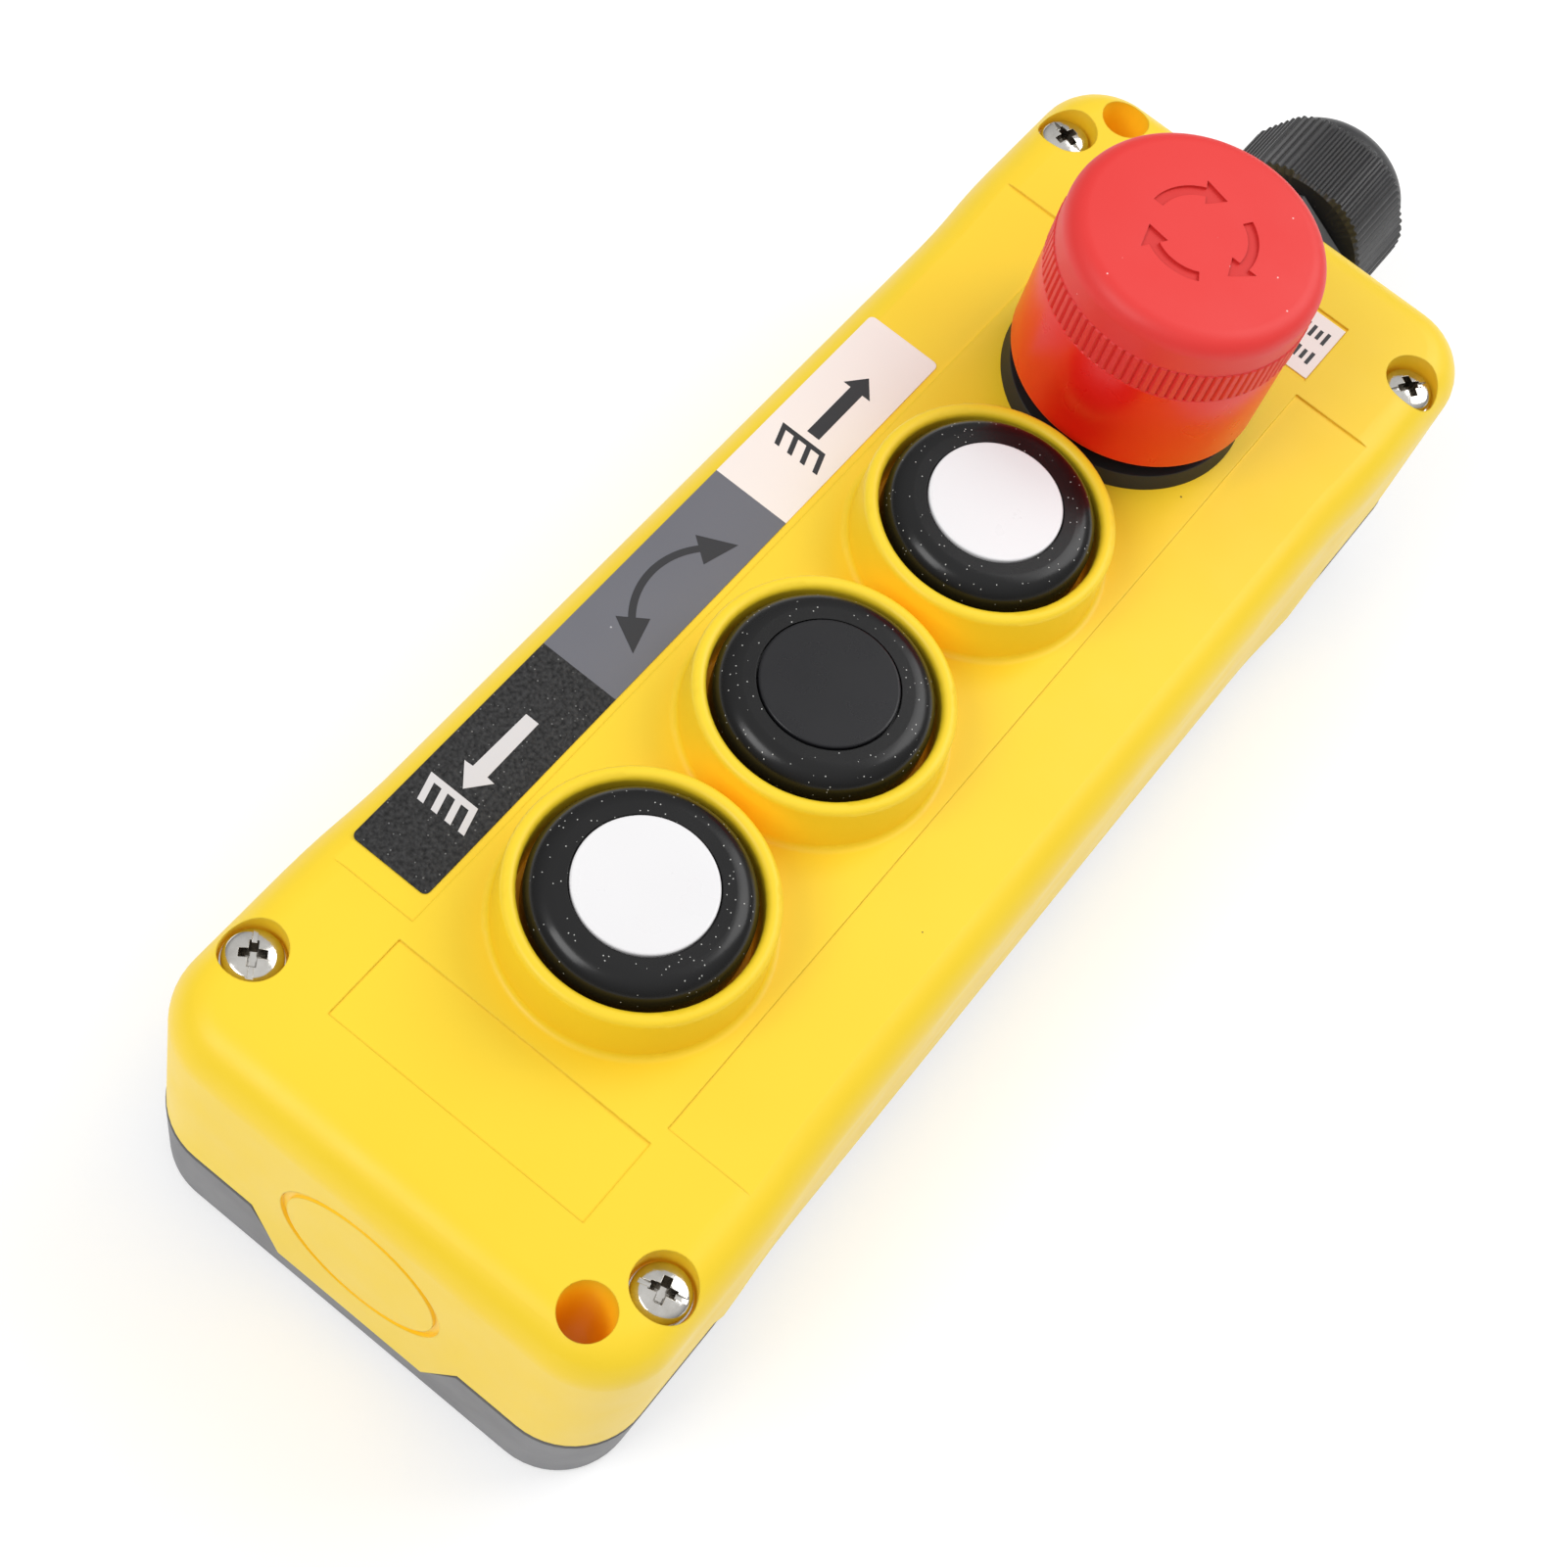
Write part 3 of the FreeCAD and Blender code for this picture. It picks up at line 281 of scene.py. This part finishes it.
def cut_away(name, bm, cutter, material, body, stands_for=(), sharp=32):
    """A finished piece with the cutter's solids taken out of it."""
    bmesh.ops.recalc_face_normals(bm, faces=bm.faces)
    bmesh.ops.recalc_face_normals(cutter, faces=cutter.faces)
    shapes = []
    for label, source in ((name + "_blank", bm), (name + "_cutter", cutter)):
        mesh = bpy.data.meshes.new(label)
        source.to_mesh(mesh)
        source.free()
        shape = bpy.data.objects.new(label, mesh)
        scene.collection.objects.link(shape)
        shapes.append(shape)
    blank, tool = shapes
    boolean = blank.modifiers.new("cut", "BOOLEAN")
    boolean.operation = "DIFFERENCE"
    boolean.solver = "EXACT"
    boolean.use_self = True
    boolean.object = tool
    bpy.context.view_layer.update()
    result = bpy.data.meshes.new_from_object(blank.evaluated_get(bpy.context.evaluated_depsgraph_get()))
    for shape in shapes:
        bpy.data.objects.remove(shape)
    solid = bmesh.new()
    solid.from_mesh(result)
    bpy.data.meshes.remove(result)
    return piece(name, solid, material, body, stands_for, sharp)


screw_low, screw_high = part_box("cover_screws")
head_r = 4.1 * MM
head_height = 2.6 * MM
rim_height = 0.7 * MM       # the straight edge of the head, below its dome
dome_r = 1.6 * MM
crown_flat_r = 1.2 * MM
shank_r = 1.7 * MM
point_length = 0.8 * MM
screw_x = screw_high.x - head_r
screw_y = screw_high.y - head_r
screw_tip = screw_low.z
head_top = screw_high.z
head_seat = head_top - head_height
# the two tapered bars of the cross, and the driver slot straight through the head: turn in degrees,
# then length, width and depth in millimetres, then how much of its length and width the floor keeps
head_cuts = ((0, 5.8, 1.7, 2.1, 0.35, 0.5), (90, 5.8, 1.7, 2.1, 0.35, 0.5), (0, 9.0, 0.7, 0.6, 1.0, 1.0))
screws = bmesh.new()
recesses = bmesh.new()
screw_places = []
for sx in (-1, 1):
    for sy in (-1, 1):
        middle = Vector((sx * screw_x, sy * screw_y))
        screw_places.append(middle)
        dome = arc(head_r - dome_r, head_seat + rim_height, dome_r, 0, 72, 8)
        profile = [(shank_r * 0.6, screw_tip), (shank_r, screw_tip + point_length), (shank_r, head_seat),
                   (head_r - 0.1 * MM, head_seat)] + dome + [(crown_flat_r, head_top)]
        first, last = stack(screws, middle, profile, 48)
        bmesh.ops.contextual_create(screws, geom=first)
        bmesh.ops.contextual_create(screws, geom=last)
        driven_to = 35 * sx + 20 * sy
        for turn, length, width, depth, floor_length, floor_width in head_cuts:
            bar = bmesh.ops.create_cube(recesses, size=1.0)["verts"]
            bmesh.ops.scale(recesses, verts=bar, vec=(length * MM, width * MM, 2 * depth * MM))
            bottom = [vert for vert in bar if vert.co.z < 0]
            bmesh.ops.scale(recesses, verts=bottom, vec=(floor_length, floor_width, 1.0))
            twist = Matrix.Rotation(math.radians(turn + driven_to), 3, "Z")
            bmesh.ops.rotate(recesses, verts=bar, matrix=twist)
            bmesh.ops.translate(recesses, verts=bar, vec=(middle[0], middle[1], head_top))
# painted shade for the walls of the cross recess
shaded_recess_zinc = turned_metal("zinc-plated steel in the recess", "A09A90", "5E5850", rough=0.3, ring_mm=0.3)
heads = cut_away("cover_screw_heads", screws, recesses, zinc_steel, "case", ["cover_screws"])
heads.data.materials.append(shaded_recess_zinc)
recess_r = 0.72 * head_r
sliver = 2e-9               # square metres: smaller faces are left with the bright finish
for face in heads.data.polygons:
    # painted shade: the sloping faces down in the cross get a darker, rougher zinc
    sunk = head_seat + 0.3 * MM < face.center.z < head_top - 0.35 * MM
    if sunk and face.normal.z < 0.95 and face.area > sliver:
        reach = min((face.center.xy - middle).length for middle in screw_places)
        face.material_index = 1 if reach < recess_r else 0


# ---- push buttons -------------------------------------------------------------------------------
# Each has a gloss black cap with a soft shoulder, and a snap-in disc that says which it is: white,
# black or white. Static draws pale dust on to the black.

black_gloss = moulded("black gloss polycarbonate", "0E0E0F", "121213", rough=0.24, grain_mm=0.8,
                      grain_height=0.003, edge_mm=0.15, speck="C4C4C0", speck_share=0.3, speck_cell=0.65,
                      speck_radius=0.14, shine=0.36)
white_gloss = moulded("white gloss ABS", "EEEDEE", "E9E8E9", rough=0.3, grain_mm=0.8, grain_height=0.002,
                      edge_mm=0.2)
black_satin = moulded("black satin ABS", "17171A", "1B1B1F", rough=0.28, grain_mm=0.5, grain_height=0.004,
                      edge_mm=0.2, speck="6E6E6C", speck_share=0.02, speck_cell=2.0, shine=0.36)
for button in ("raise", "turn", "lower"):
    paint(button + "_button_cap", black_gloss)
    paint(button + "_button_disc", black_satin if button == "turn" else white_gloss)


# ---- plungers, bushes and bellows ---------------------------------------------------------------
# Under each cap a black nylon plunger slides in a nylon bush, inside a rubber bellows and a light
# coil spring.

black_nylon = moulded("black glass-filled nylon", "1C1C1D", "232324", rough=0.5, grain_mm=0.45,
                      grain_height=0.012, edge_mm=0.25, speck="4A4A4A", speck_share=0.04,
                      speck_cell=1.8, blotch_mm=10.0)
bellows_wall = 0.8 * MM
foot_width = 2.1 * MM       # the flat foot outside the neck
fold = 1.4 * MM             # how far the one fold stands out from the neck
for button in ("raise", "turn", "lower"):
    paint(button + "_button_plunger", black_nylon)
    paint(button + "_guide_bush", black_nylon)
    paint(button + "_contact_bridge", brass)
    paint(button + "_fixed_contacts", brass)
    low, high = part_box(button + "_button_bellows")
    middle = ((low.x + high.x) / 2, (low.y + high.y) / 2)
    foot_r = (high.x - low.x) / 2
    neck_r = foot_r - foot_width
    waist = low.z + (high.z - low.z) * 0.45
    outside = [(foot_r, low.z), (foot_r, low.z + bellows_wall), (neck_r, low.z + bellows_wall),
               (neck_r + fold, waist), (neck_r, high.z)]
    inside = [(neck_r - bellows_wall, high.z), (neck_r + fold - bellows_wall, waist),
              (neck_r - bellows_wall, low.z + bellows_wall), (neck_r - bellows_wall, low.z)]
    bm = bmesh.new()
    first, last = stack(bm, middle, outside + inside, 96)
    bmesh.ops.bridge_loops(bm, edges=first + last)
    bellows = piece(button + "_bellows", bm, rubber, "case", [button + "_button_bellows"])
    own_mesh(bellows)


def coil_spring(name, node, wire_mm, turns):
    """A coil of round wire in place of the CAD one."""
    low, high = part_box(node)
    wire = wire_mm * MM / 2
    radius = (high.x - low.x) / 2 - wire
    centre = Vector(((low.x + high.x) / 2, (low.y + high.y) / 2, low.z + wire))
    rise = high.z - low.z - 2 * wire
    bm = bmesh.new()
    ring = bmesh.ops.create_circle(bm, segments=10, radius=wire,
                                   matrix=Matrix.Translation(centre + Vector((radius, 0, 0)))
                                   @ Matrix.Rotation(math.radians(90), 4, "X"))["verts"]
    edges = list({edge for vert in ring for edge in vert.link_edges})
    steps = int(40 * turns)
    wound = bmesh.ops.spin(bm, geom=ring + edges, cent=centre, axis=(0, 0, 1),
                           angle=math.radians(360 * turns), steps=steps, dvec=(0, 0, rise / steps),
                           use_merge=False)["geom_last"]
    for end in (edges, [item for item in wound if isinstance(item, bmesh.types.BMEdge)]):
        bmesh.ops.contextual_create(bm, geom=end)
    spring = piece(name, bm, spring_steel, "case", [node])
    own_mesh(spring)


for button in ("raise", "turn", "lower"):
    coil_spring(button + "_spring", button + "_button_spring", 0.5, 3.5)


# ---- contact blocks -----------------------------------------------------------------------------
# One moulded block under each button carries the brass contacts. Unfilled cream nylon, a little
# uneven in tone where it cooled last.

cream_nylon = moulded("cream moulded nylon", "CFCBBE", "BDB8A8", rough=0.5, grain_mm=0.6, grain_height=0.01,
                      edge_mm=0.3, blotch_mm=15.0)
for block in ("raise_contact_block", "turn_contact_block", "lower_contact_block", "stop_contact_block"):
    paint(block, cream_nylon)
for contact in ("stop_contact_bridge", "stop_fixed_contacts"):
    paint(contact, brass)


# ---- stop button --------------------------------------------------------------------------------
# A black nylon base carries the red head, which is pushed to latch and turned to let go. The head
# is a gloss red skirt under a matte red cap with a knurled band and three sunk arrows.

for node in ("stop_body", "stop_locknut", "stop_shaft"):
    paint(node, black_nylon)
coil_spring("stop_coil", "stop_spring", 0.9, 5.0)

red_gloss = moulded("gloss red ABS", "EE1C12", "E8170E", rough=0.3, grain_mm=0.8, grain_height=0.002,
                    edge_mm=0.2, speck="F0B9A8", speck_share=0.05, speck_cell=1.6, speck_radius=0.06)
red_matte = moulded("matte red nylon", "E83430", "E32F2C", rough=0.5, grain_mm=0.4, grain_height=0.008,
                    edge_mm=0.2, speck="F5C0BC", speck_share=0.12, speck_cell=2.0, speck_radius=0.07)
# a darker red than the cap: painted shade for the sunk arrows
red_sunk = moulded("matte red nylon of the sunk arrows", "DA2E2B", "D22926", rough=0.6, grain_mm=0.4,
                   grain_height=0.012, edge_mm=0.1)

low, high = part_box("stop_skirt")
stop_centre = ((low.x + high.x) / 2, (low.y + high.y) / 2)
skirt_r = (high.x - low.x) / 2
skirt_wall = 2.0 * MM
neck_bore = 5.45 * MM
shoulder = 0.3 * MM
hem = 0.5 * MM
outside = [(neck_bore, high.z)] + arc(skirt_r - shoulder, high.z - shoulder, shoulder, 90, 0, 4)
outside += arc(skirt_r - hem, low.z + hem, hem, 0, -90, 5)
inside = [(skirt_r - skirt_wall, low.z), (skirt_r - skirt_wall, high.z - skirt_wall),
          (neck_bore, high.z - skirt_wall)]
bm = bmesh.new()
first, last = stack(bm, stop_centre, outside + inside, 180)
bmesh.ops.bridge_loops(bm, edges=first + last)
piece("stop_head_skirt", bm, red_gloss, "stop_head", ["stop_skirt"])

low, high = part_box("stop_cap")
ridges = 90
around = 4 * ridges
ridge_r = (high.x - low.x) / 2
groove_depth = 0.42 * MM
smooth_r = ridge_r - 0.2 * MM
band_top = low.z + 5.9 * MM
edge_r = 3.2 * MM
bore_r = 4.0 * MM
boss_r = 8.0 * MM
cap_wall = 3.0 * MM
wall_r = ridge_r - cap_wall
roof = high.z - cap_wall
crown = arc(smooth_r - edge_r, high.z - edge_r, edge_r, 90, 0, 12)
outside = crown + [(smooth_r, band_top + 0.5 * MM), (smooth_r, band_top + 0.12 * MM), (ridge_r, band_top),
                   (ridge_r, low.z + 0.15 * MM), (ridge_r - 0.15 * MM, low.z)]
inside = [(wall_r, low.z), (wall_r, roof), (boss_r, roof), (boss_r, low.z), (bore_r, low.z), (bore_r, roof)]
bm = bmesh.new()
first, last = stack(bm, stop_centre, outside + inside, around)
bmesh.ops.contextual_create(bm, geom=first)
bmesh.ops.contextual_create(bm, geom=last)
bm.verts.ensure_lookup_table()
for vert in bm.verts:
    # every fourth point of the band is pressed in, which leaves flat-topped ridges
    off = Vector((vert.co.x - stop_centre[0], vert.co.y - stop_centre[1]))
    place = off.angle_signed(Vector((1, 0)), 0) / (2 * math.pi) * around
    if vert.co.z < band_top + 0.05 * MM and off.length > ridge_r - 0.2 * MM and round(place) % 4 == 0:
        pressed = (off.length - groove_depth) / off.length
        bmesh.ops.scale(bm, verts=[vert], vec=(pressed, pressed, 1),
                        space=Matrix.Translation((-stop_centre[0], -stop_centre[1], 0)))

arrows = bmesh.new()
arrow_depth = 0.45 * MM
bar_r = (6.8, 8.4)          # the inner and outer edge of an arrow's curved bar, in millimetres
bar_sweep = 66              # degrees
head_start, head_end = 62, 87
for tail in (180, 60, -60):
    # a curved bar and a pointed head, both standing through the top of the cap
    start = Vector((math.cos(math.radians(tail)), math.sin(math.radians(tail)), 0))
    centre = Vector((stop_centre[0], stop_centre[1], high.z - arrow_depth))
    ends = [arrows.verts.new(centre + start * r * MM) for r in bar_r]
    bmesh.ops.spin(arrows, geom=ends + [arrows.edges.new(ends)], cent=centre, axis=(0, 0, -1),
                   angle=math.radians(bar_sweep), steps=16, use_merge=False)
    tip = math.radians(tail - head_end)
    base = math.radians(tail - head_start)
    corners = [(5.45, base), (7.6, tip), (9.75, base)]
    points = [arrows.verts.new(centre + Vector((math.cos(a), math.sin(a), 0)) * r * MM) for r, a in corners]
    bmesh.ops.contextual_create(arrows, geom=points)
walls = bmesh.ops.extrude_face_region(arrows, geom=list(arrows.faces))["geom"]
tops = [item for item in walls if isinstance(item, bmesh.types.BMVert)]
bmesh.ops.translate(arrows, verts=tops, vec=(0, 0, 2 * MM))
head_cap = cut_away("stop_head_cap", bm, arrows, red_matte, "stop_head", ["stop_cap"], sharp=28)
head_cap.data.materials.append(red_sunk)
for face in head_cap.data.polygons:
    # the arrows' floors have the rougher finish of the eroded punch that moulds them, and a darker red that
    # is painted shade
    outward = (face.center - Vector((stop_centre[0], stop_centre[1], face.center.z))).length
    if high.z - 0.6 * MM < face.center.z < high.z - 0.1 * MM and outward < 10 * MM:
        face.material_index = 1


# ---- cable gland --------------------------------------------------------------------------------
# A screwed nylon gland: hexagon body, flat washer and locknut, and a domed nut with fine grip ribs.
# The body and rings are the CAD pieces.

gland_nylon = moulded("black gland nylon", "29292A", "303032", rough=0.42, grain_mm=0.45, grain_height=0.01,
                      edge_mm=0.2, speck="606064", speck_share=0.03, speck_cell=2.0, blotch_mm=10.0)
for node in ("gland_body", "gland_washer", "gland_locknut", "gland_slip_ring"):
    paint(node, gland_nylon)

low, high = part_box("gland_nut")
axis_z = (low.z + high.z) / 2
flats_r = 14.5 * MM
corner_r = (high.x - low.x) / 2
ribs = 66
points_round = 4 * ribs
nut_end = low.y + 15.1 * MM
shoulder_r = 13.4 * MM      # where the dome meets the ribbed part
mouth_r = 7.3 * MM
rib_depth = 0.45 * MM
thread_r = 10.06 * MM
throat_r = 7.0 * MM
seat_r = 14.0 * MM
dome_turn = math.radians(60)
dome_rings = 12


def nut_ring(bm, edges, place, size, ribbed):
    """The nut's next ring, at this place on its axis: hexagonal with ribs, or round for the dome."""
    made = bmesh.ops.extrude_edge_only(bm, edges=edges)["geom"]
    verts = [item for item in made if isinstance(item, bmesh.types.BMVert)]
    for vert in verts:
        turn = math.atan2(vert.co.z - axis_z, vert.co.x)
        step = round(turn / (2 * math.pi) * points_round) % points_round
        if ribbed:
            # flats face up and down, so the corners lie to the two sides
            across = flats_r / math.cos(turn % (math.pi / 3) - math.pi / 6)
            radius = min(across, corner_r, size) - (rib_depth if step % 4 in (0, 1) else 0)
        else:
            radius = size
        vert.co = Vector((radius * math.cos(turn), place, axis_z + radius * math.sin(turn)))
    return [item for item in made if isinstance(item, bmesh.types.BMEdge)]


bm = bmesh.new()
upright = Matrix.Translation((0, low.y, axis_z)) @ Matrix.Rotation(math.radians(90), 4, "X")
made = bmesh.ops.create_circle(bm, segments=points_round, radius=thread_r, matrix=upright)
first = list({edge for vert in made["verts"] for edge in vert.link_edges})
last = nut_ring(bm, first, low.y, seat_r, False)
# along the ribbed part: the place of each ring, and the largest radius in millimetres it may have
for place, size in ((low.y + 0.5 * MM, 20.0), (nut_end - 0.7 * MM, 20.0), (nut_end - 0.3 * MM, 14.8),
                    (nut_end, 13.9)):
    last = nut_ring(bm, last, place, size * MM, True)
for step in range(dome_rings):
    rise = math.sin(dome_turn * step / (dome_rings - 1)) / math.sin(dome_turn)
    size = mouth_r + (shoulder_r - mouth_r) * (1 - rise ** 2.4)
    last = nut_ring(bm, last, nut_end + rise * (high.y - nut_end), size, False)
# back inside: the mouth's chamfer, the throat and the end of the thread
for place, size in ((high.y - 0.4 * MM, mouth_r - 0.3 * MM), (low.y + 14.6 * MM, throat_r),
                    (low.y + 11.8 * MM, thread_r)):
    last = nut_ring(bm, last, place, size, False)
bmesh.ops.bridge_loops(bm, edges=first + last)
piece("gland_dome_nut", bm, gland_nylon, "gland_cap", ["gland_nut"], sharp=25)


# ---- legend strip -------------------------------------------------------------------------------
# A printed vinyl strip in three cells: white, grey and grained black. Each has its symbol in ink:
# an arrow away from a comb, a curved double arrow, and an arrow on to a comb.

white_vinyl = moulded("white printed vinyl", "F6ECE6", "F2E8E2", rough=0.4, grain_mm=0.5,
                      grain_height=0.003, edge_mm=0.05)
grey_vinyl = moulded("grey printed vinyl", "6B6C74", "66676F", rough=0.42, grain_mm=0.45,
                     grain_height=0.006, edge_mm=0.05, speck="B8B8BE", speck_share=0.03, speck_cell=2.5)
black_vinyl = moulded("black grained vinyl", "0D0D0E", "383839", rough=0.45, grain_mm=0.6,
                      grain_height=0.15, edge_mm=0.05, speck="707070", speck_share=0.3, speck_cell=0.7,
                      speck_radius=0.17, blotch_mm=0.6, shine=0.3)
black_ink = moulded("black screen ink", "262629", "2C2C30", rough=0.5, grain_mm=0.4,
                    grain_height=0.003, edge_mm=0.02)
white_ink = moulded("white screen ink", "DAD7D8", "D2CFD0", rough=0.5, grain_mm=0.4,
                    grain_height=0.003, edge_mm=0.02)

low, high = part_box("legend_strip")
strip_top = high.z
ink = 0.03 * MM
corner_round = 0.9 * MM
cell_ends = (high.y, 4.0 * MM, -35.2 * MM, low.y)
cells = (("raise", white_vinyl), ("turn", grey_vinyl), ("lower", black_vinyl))
for (label, vinyl), top, bottom in zip(cells, cell_ends, cell_ends[1:]):
    bm = bmesh.new()
    cell = bmesh.ops.create_cube(bm, size=1.0)["verts"]
    bmesh.ops.scale(bm, verts=cell, vec=(high.x - low.x, top - bottom, high.z - low.z))
    bmesh.ops.translate(bm, verts=cell,
                        vec=((low.x + high.x) / 2, (top + bottom) / 2, (low.z + high.z) / 2))
    corners = []
    for edge in bm.edges:
        # only the upright edges at the two ends of the whole strip are rounded
        foot, head = edge.verts
        at_end = min(abs(foot.co.y - high.y), abs(foot.co.y - low.y)) < 1e-6
        if at_end and abs(foot.co.z - head.co.z) > 0.1 * MM:
            corners.append(edge)
    if corners:
        bmesh.ops.bevel(bm, geom=corners, offset=corner_round, segments=5, affect="EDGES", profile=0.5,
                        material=-1)
    piece(label + "_legend", bm, vinyl, "case", ["legend_strip"])


def thicken(bm, height):
    """Raises a flat shape to a slab."""
    raised = bmesh.ops.extrude_face_region(bm, geom=list(bm.faces))["geom"]
    verts = [item for item in raised if isinstance(item, bmesh.types.BMVert)]
    bmesh.ops.translate(bm, verts=verts, vec=(0, 0, height))


def printed(name, outlines, material):
    """Ink shapes on the strip, each from its outline of (x, y) corners in millimetres."""
    bm = bmesh.new()
    for outline in outlines:
        corners = [bm.verts.new((x * MM, y * MM, strip_top)) for x, y in outline]
        bm.faces.new(corners)
    thicken(bm, ink)
    piece(name, bm, material, "case")


def comb(left, top, width, back, tooth, reach, slant):
    """A bar with four slanted teeth hanging from it."""
    pitch = (width - tooth) / 3
    outline = [(left + width, top), (left, top)]
    for k in range(4):
        x = left + k * pitch
        lean = slant * (reach - back) / reach
        outline += [(x + slant, top - reach), (x + slant + tooth, top - reach)]
        if k < 3:
            outline += [(x + tooth + slant - lean, top - back), (x + pitch + slant - lean, top - back)]
    return outline


up_arrow = [(-28.6, 32.9), (-31.0, 29.7), (-29.7, 29.7), (-29.7, 18.8), (-27.5, 18.8), (-27.5, 29.7),
            (-26.1, 29.7)]
printed("raise_symbol", [up_arrow, comb(-33.2, 17.5, 7.9, 0.8, 0.85, 3.8, 1.25)], black_ink)
down_arrow = [(-28.9, -59.7), (-26.3, -56.3), (-27.6, -56.2), (-27.7, -45.3), (-29.9, -45.3), (-30.1, -56.2),
              (-31.5, -56.3)]
printed("lower_symbol", [down_arrow, comb(-33.6, -60.6, 8.1, 1.0, 1.05, 4.3, 1.2)], white_ink)

bend_centre = Vector((-19.0 * MM, -15.85 * MM, strip_top))
bow_start, bow_end = 142, 218      # degrees, the ends of the curved bar, where its two heads begin
bow_r = (11.95, 13.05)             # its inner and outer edge, in millimetres


def on_bend(turn, radius_mm):
    """The point at this turn, in degrees, and radius round the bend's centre."""
    heading = Vector((math.cos(math.radians(turn)), math.sin(math.radians(turn)), 0))
    return bend_centre + heading * radius_mm * MM


bm = bmesh.new()
ends = [bm.verts.new(on_bend(bow_start, r)) for r in bow_r]
bmesh.ops.spin(bm, geom=ends + [bm.edges.new(ends)], cent=bend_centre, axis=(0, 0, 1),
               angle=math.radians(bow_end - bow_start), steps=24, use_merge=False)
for tip, base in ((117, bow_start), (243, bow_end)):
    points = [bm.verts.new(on_bend(turn, r)) for r, turn in ((14.8, base), (13.55, tip), (9.9, base))]
    bmesh.ops.contextual_create(bm, geom=points)
thicken(bm, ink)
piece("turn_symbol", bm, black_ink, "case")


# ---- end label ----------------------------------------------------------------------------------
# A small white vinyl label behind the stop button, stuck on the front, with two rows of plain
# printed bars in place of its wording.

paint("end_label", white_vinyl)
low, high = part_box("end_label")
bar_width = 0.62 * MM
bar_pitch = 1.25 * MM
bar_heights = (2.7, 2.1, 2.5)
label_margin = 1.6 * MM
bm = bmesh.new()
for share_up, strokes, gap in ((0.7, 30, 8), (0.3, 24, 4)):
    row_y = low.y + (high.y - low.y) * share_up
    for stroke in range(strokes):
        if stroke % gap == gap - 1:
            continue
        bar = bmesh.ops.create_cube(bm, size=1.0)["verts"]
        bmesh.ops.scale(bm, verts=bar, vec=(bar_width, bar_heights[stroke % 3] * MM, ink))
        bmesh.ops.translate(bm, verts=bar, vec=(high.x - label_margin - stroke * bar_pitch, row_y,
                                                high.z + ink / 2))
piece("end_label_bars", bm, black_ink, "case")


# ---- floor, light and camera --------------------------------------------------------------------
# A plain pale floor, two large soft boxes and an even pale surround. The camera looks down on the
# station from beyond its lower end.

floor_material, tree, place, surface = empty_material("pale studio floor")
surface.inputs["Base Color"].default_value = linear("D4D4D4")
surface.inputs["Roughness"].default_value = 0.8
surface.inputs["Emission Color"].default_value = (1.0, 1.0, 1.0, 1.0)
surface.inputs["Emission Strength"].default_value = 0.4
floor_gap = 0.05 * MM       # keeps the floor clear of the cover's flat back
bm = bmesh.new()
bmesh.ops.create_grid(bm, x_segments=1, y_segments=1, size=3.0)
bmesh.ops.translate(bm, verts=bm.verts, vec=(0, 0, cad_box[0][2] - floor_gap))
mesh = bpy.data.meshes.new("floor")
bm.to_mesh(mesh)
bm.free()
mesh.materials.append(floor_material)
floor = bpy.data.objects.new("floor", mesh)
scene.collection.objects.link(floor)

world = bpy.data.worlds.new("pale surround")
world.use_nodes = True
sky = world.node_tree
way = add(sky, "TexCoord")
height = add(sky, "SeparateXYZ", {0: (way, "Generated")})
glow = add(sky, "MapRange", {0: (height, "Z"), 1: 0.0, 2: 1.0, 3: 0.25, 4: 0.85})
sky.links.new(glow.outputs[0], sky.nodes["Background"].inputs["Strength"])
sky.nodes["Background"].inputs["Color"].default_value = (1.0, 1.0, 1.0, 1.0)
scene.world = world


def soft_box(name, place, aim, size, power):
    """A square area light that faces a point."""
    data = bpy.data.lights.new(name, "AREA")
    data.shape = "SQUARE"
    data.size = size
    data.energy = power
    light = bpy.data.objects.new(name, data)
    scene.collection.objects.link(light)
    light.location = place
    light.rotation_euler = (Vector(aim) - Vector(place)).to_track_quat("-Z", "Y").to_euler()


case_middle = (0, 0, 0.03)
soft_box("far soft box", (0.45, 0.95, 1.1), case_middle, size=1.0, power=9.0)
soft_box("near soft box", (-0.4, -0.8, 1.0), case_middle, size=0.6, power=5.5)

# the camera's own axes, and where it stands
view_right = Vector((0.7804278, 0.5942642, 0.1943774))
view_down = Vector((0.6109598, -0.6587318, -0.4390905))
view_ahead = Vector((-0.1328932, 0.4614352, -0.8771642))
lens = bpy.data.cameras.new("camera")
lens.sensor_width = 36.0
lens.lens = 62.68
lens.clip_start = 0.01
camera = bpy.data.objects.new("camera", lens)
scene.collection.objects.link(camera)
facing = Matrix((view_right, -view_down, -view_ahead)).transposed().to_4x4()
camera.matrix_world = Matrix.Translation((0.05218, -0.20123, 0.37949)) @ facing
scene.camera = camera
scene.view_settings.view_transform = "Standard"
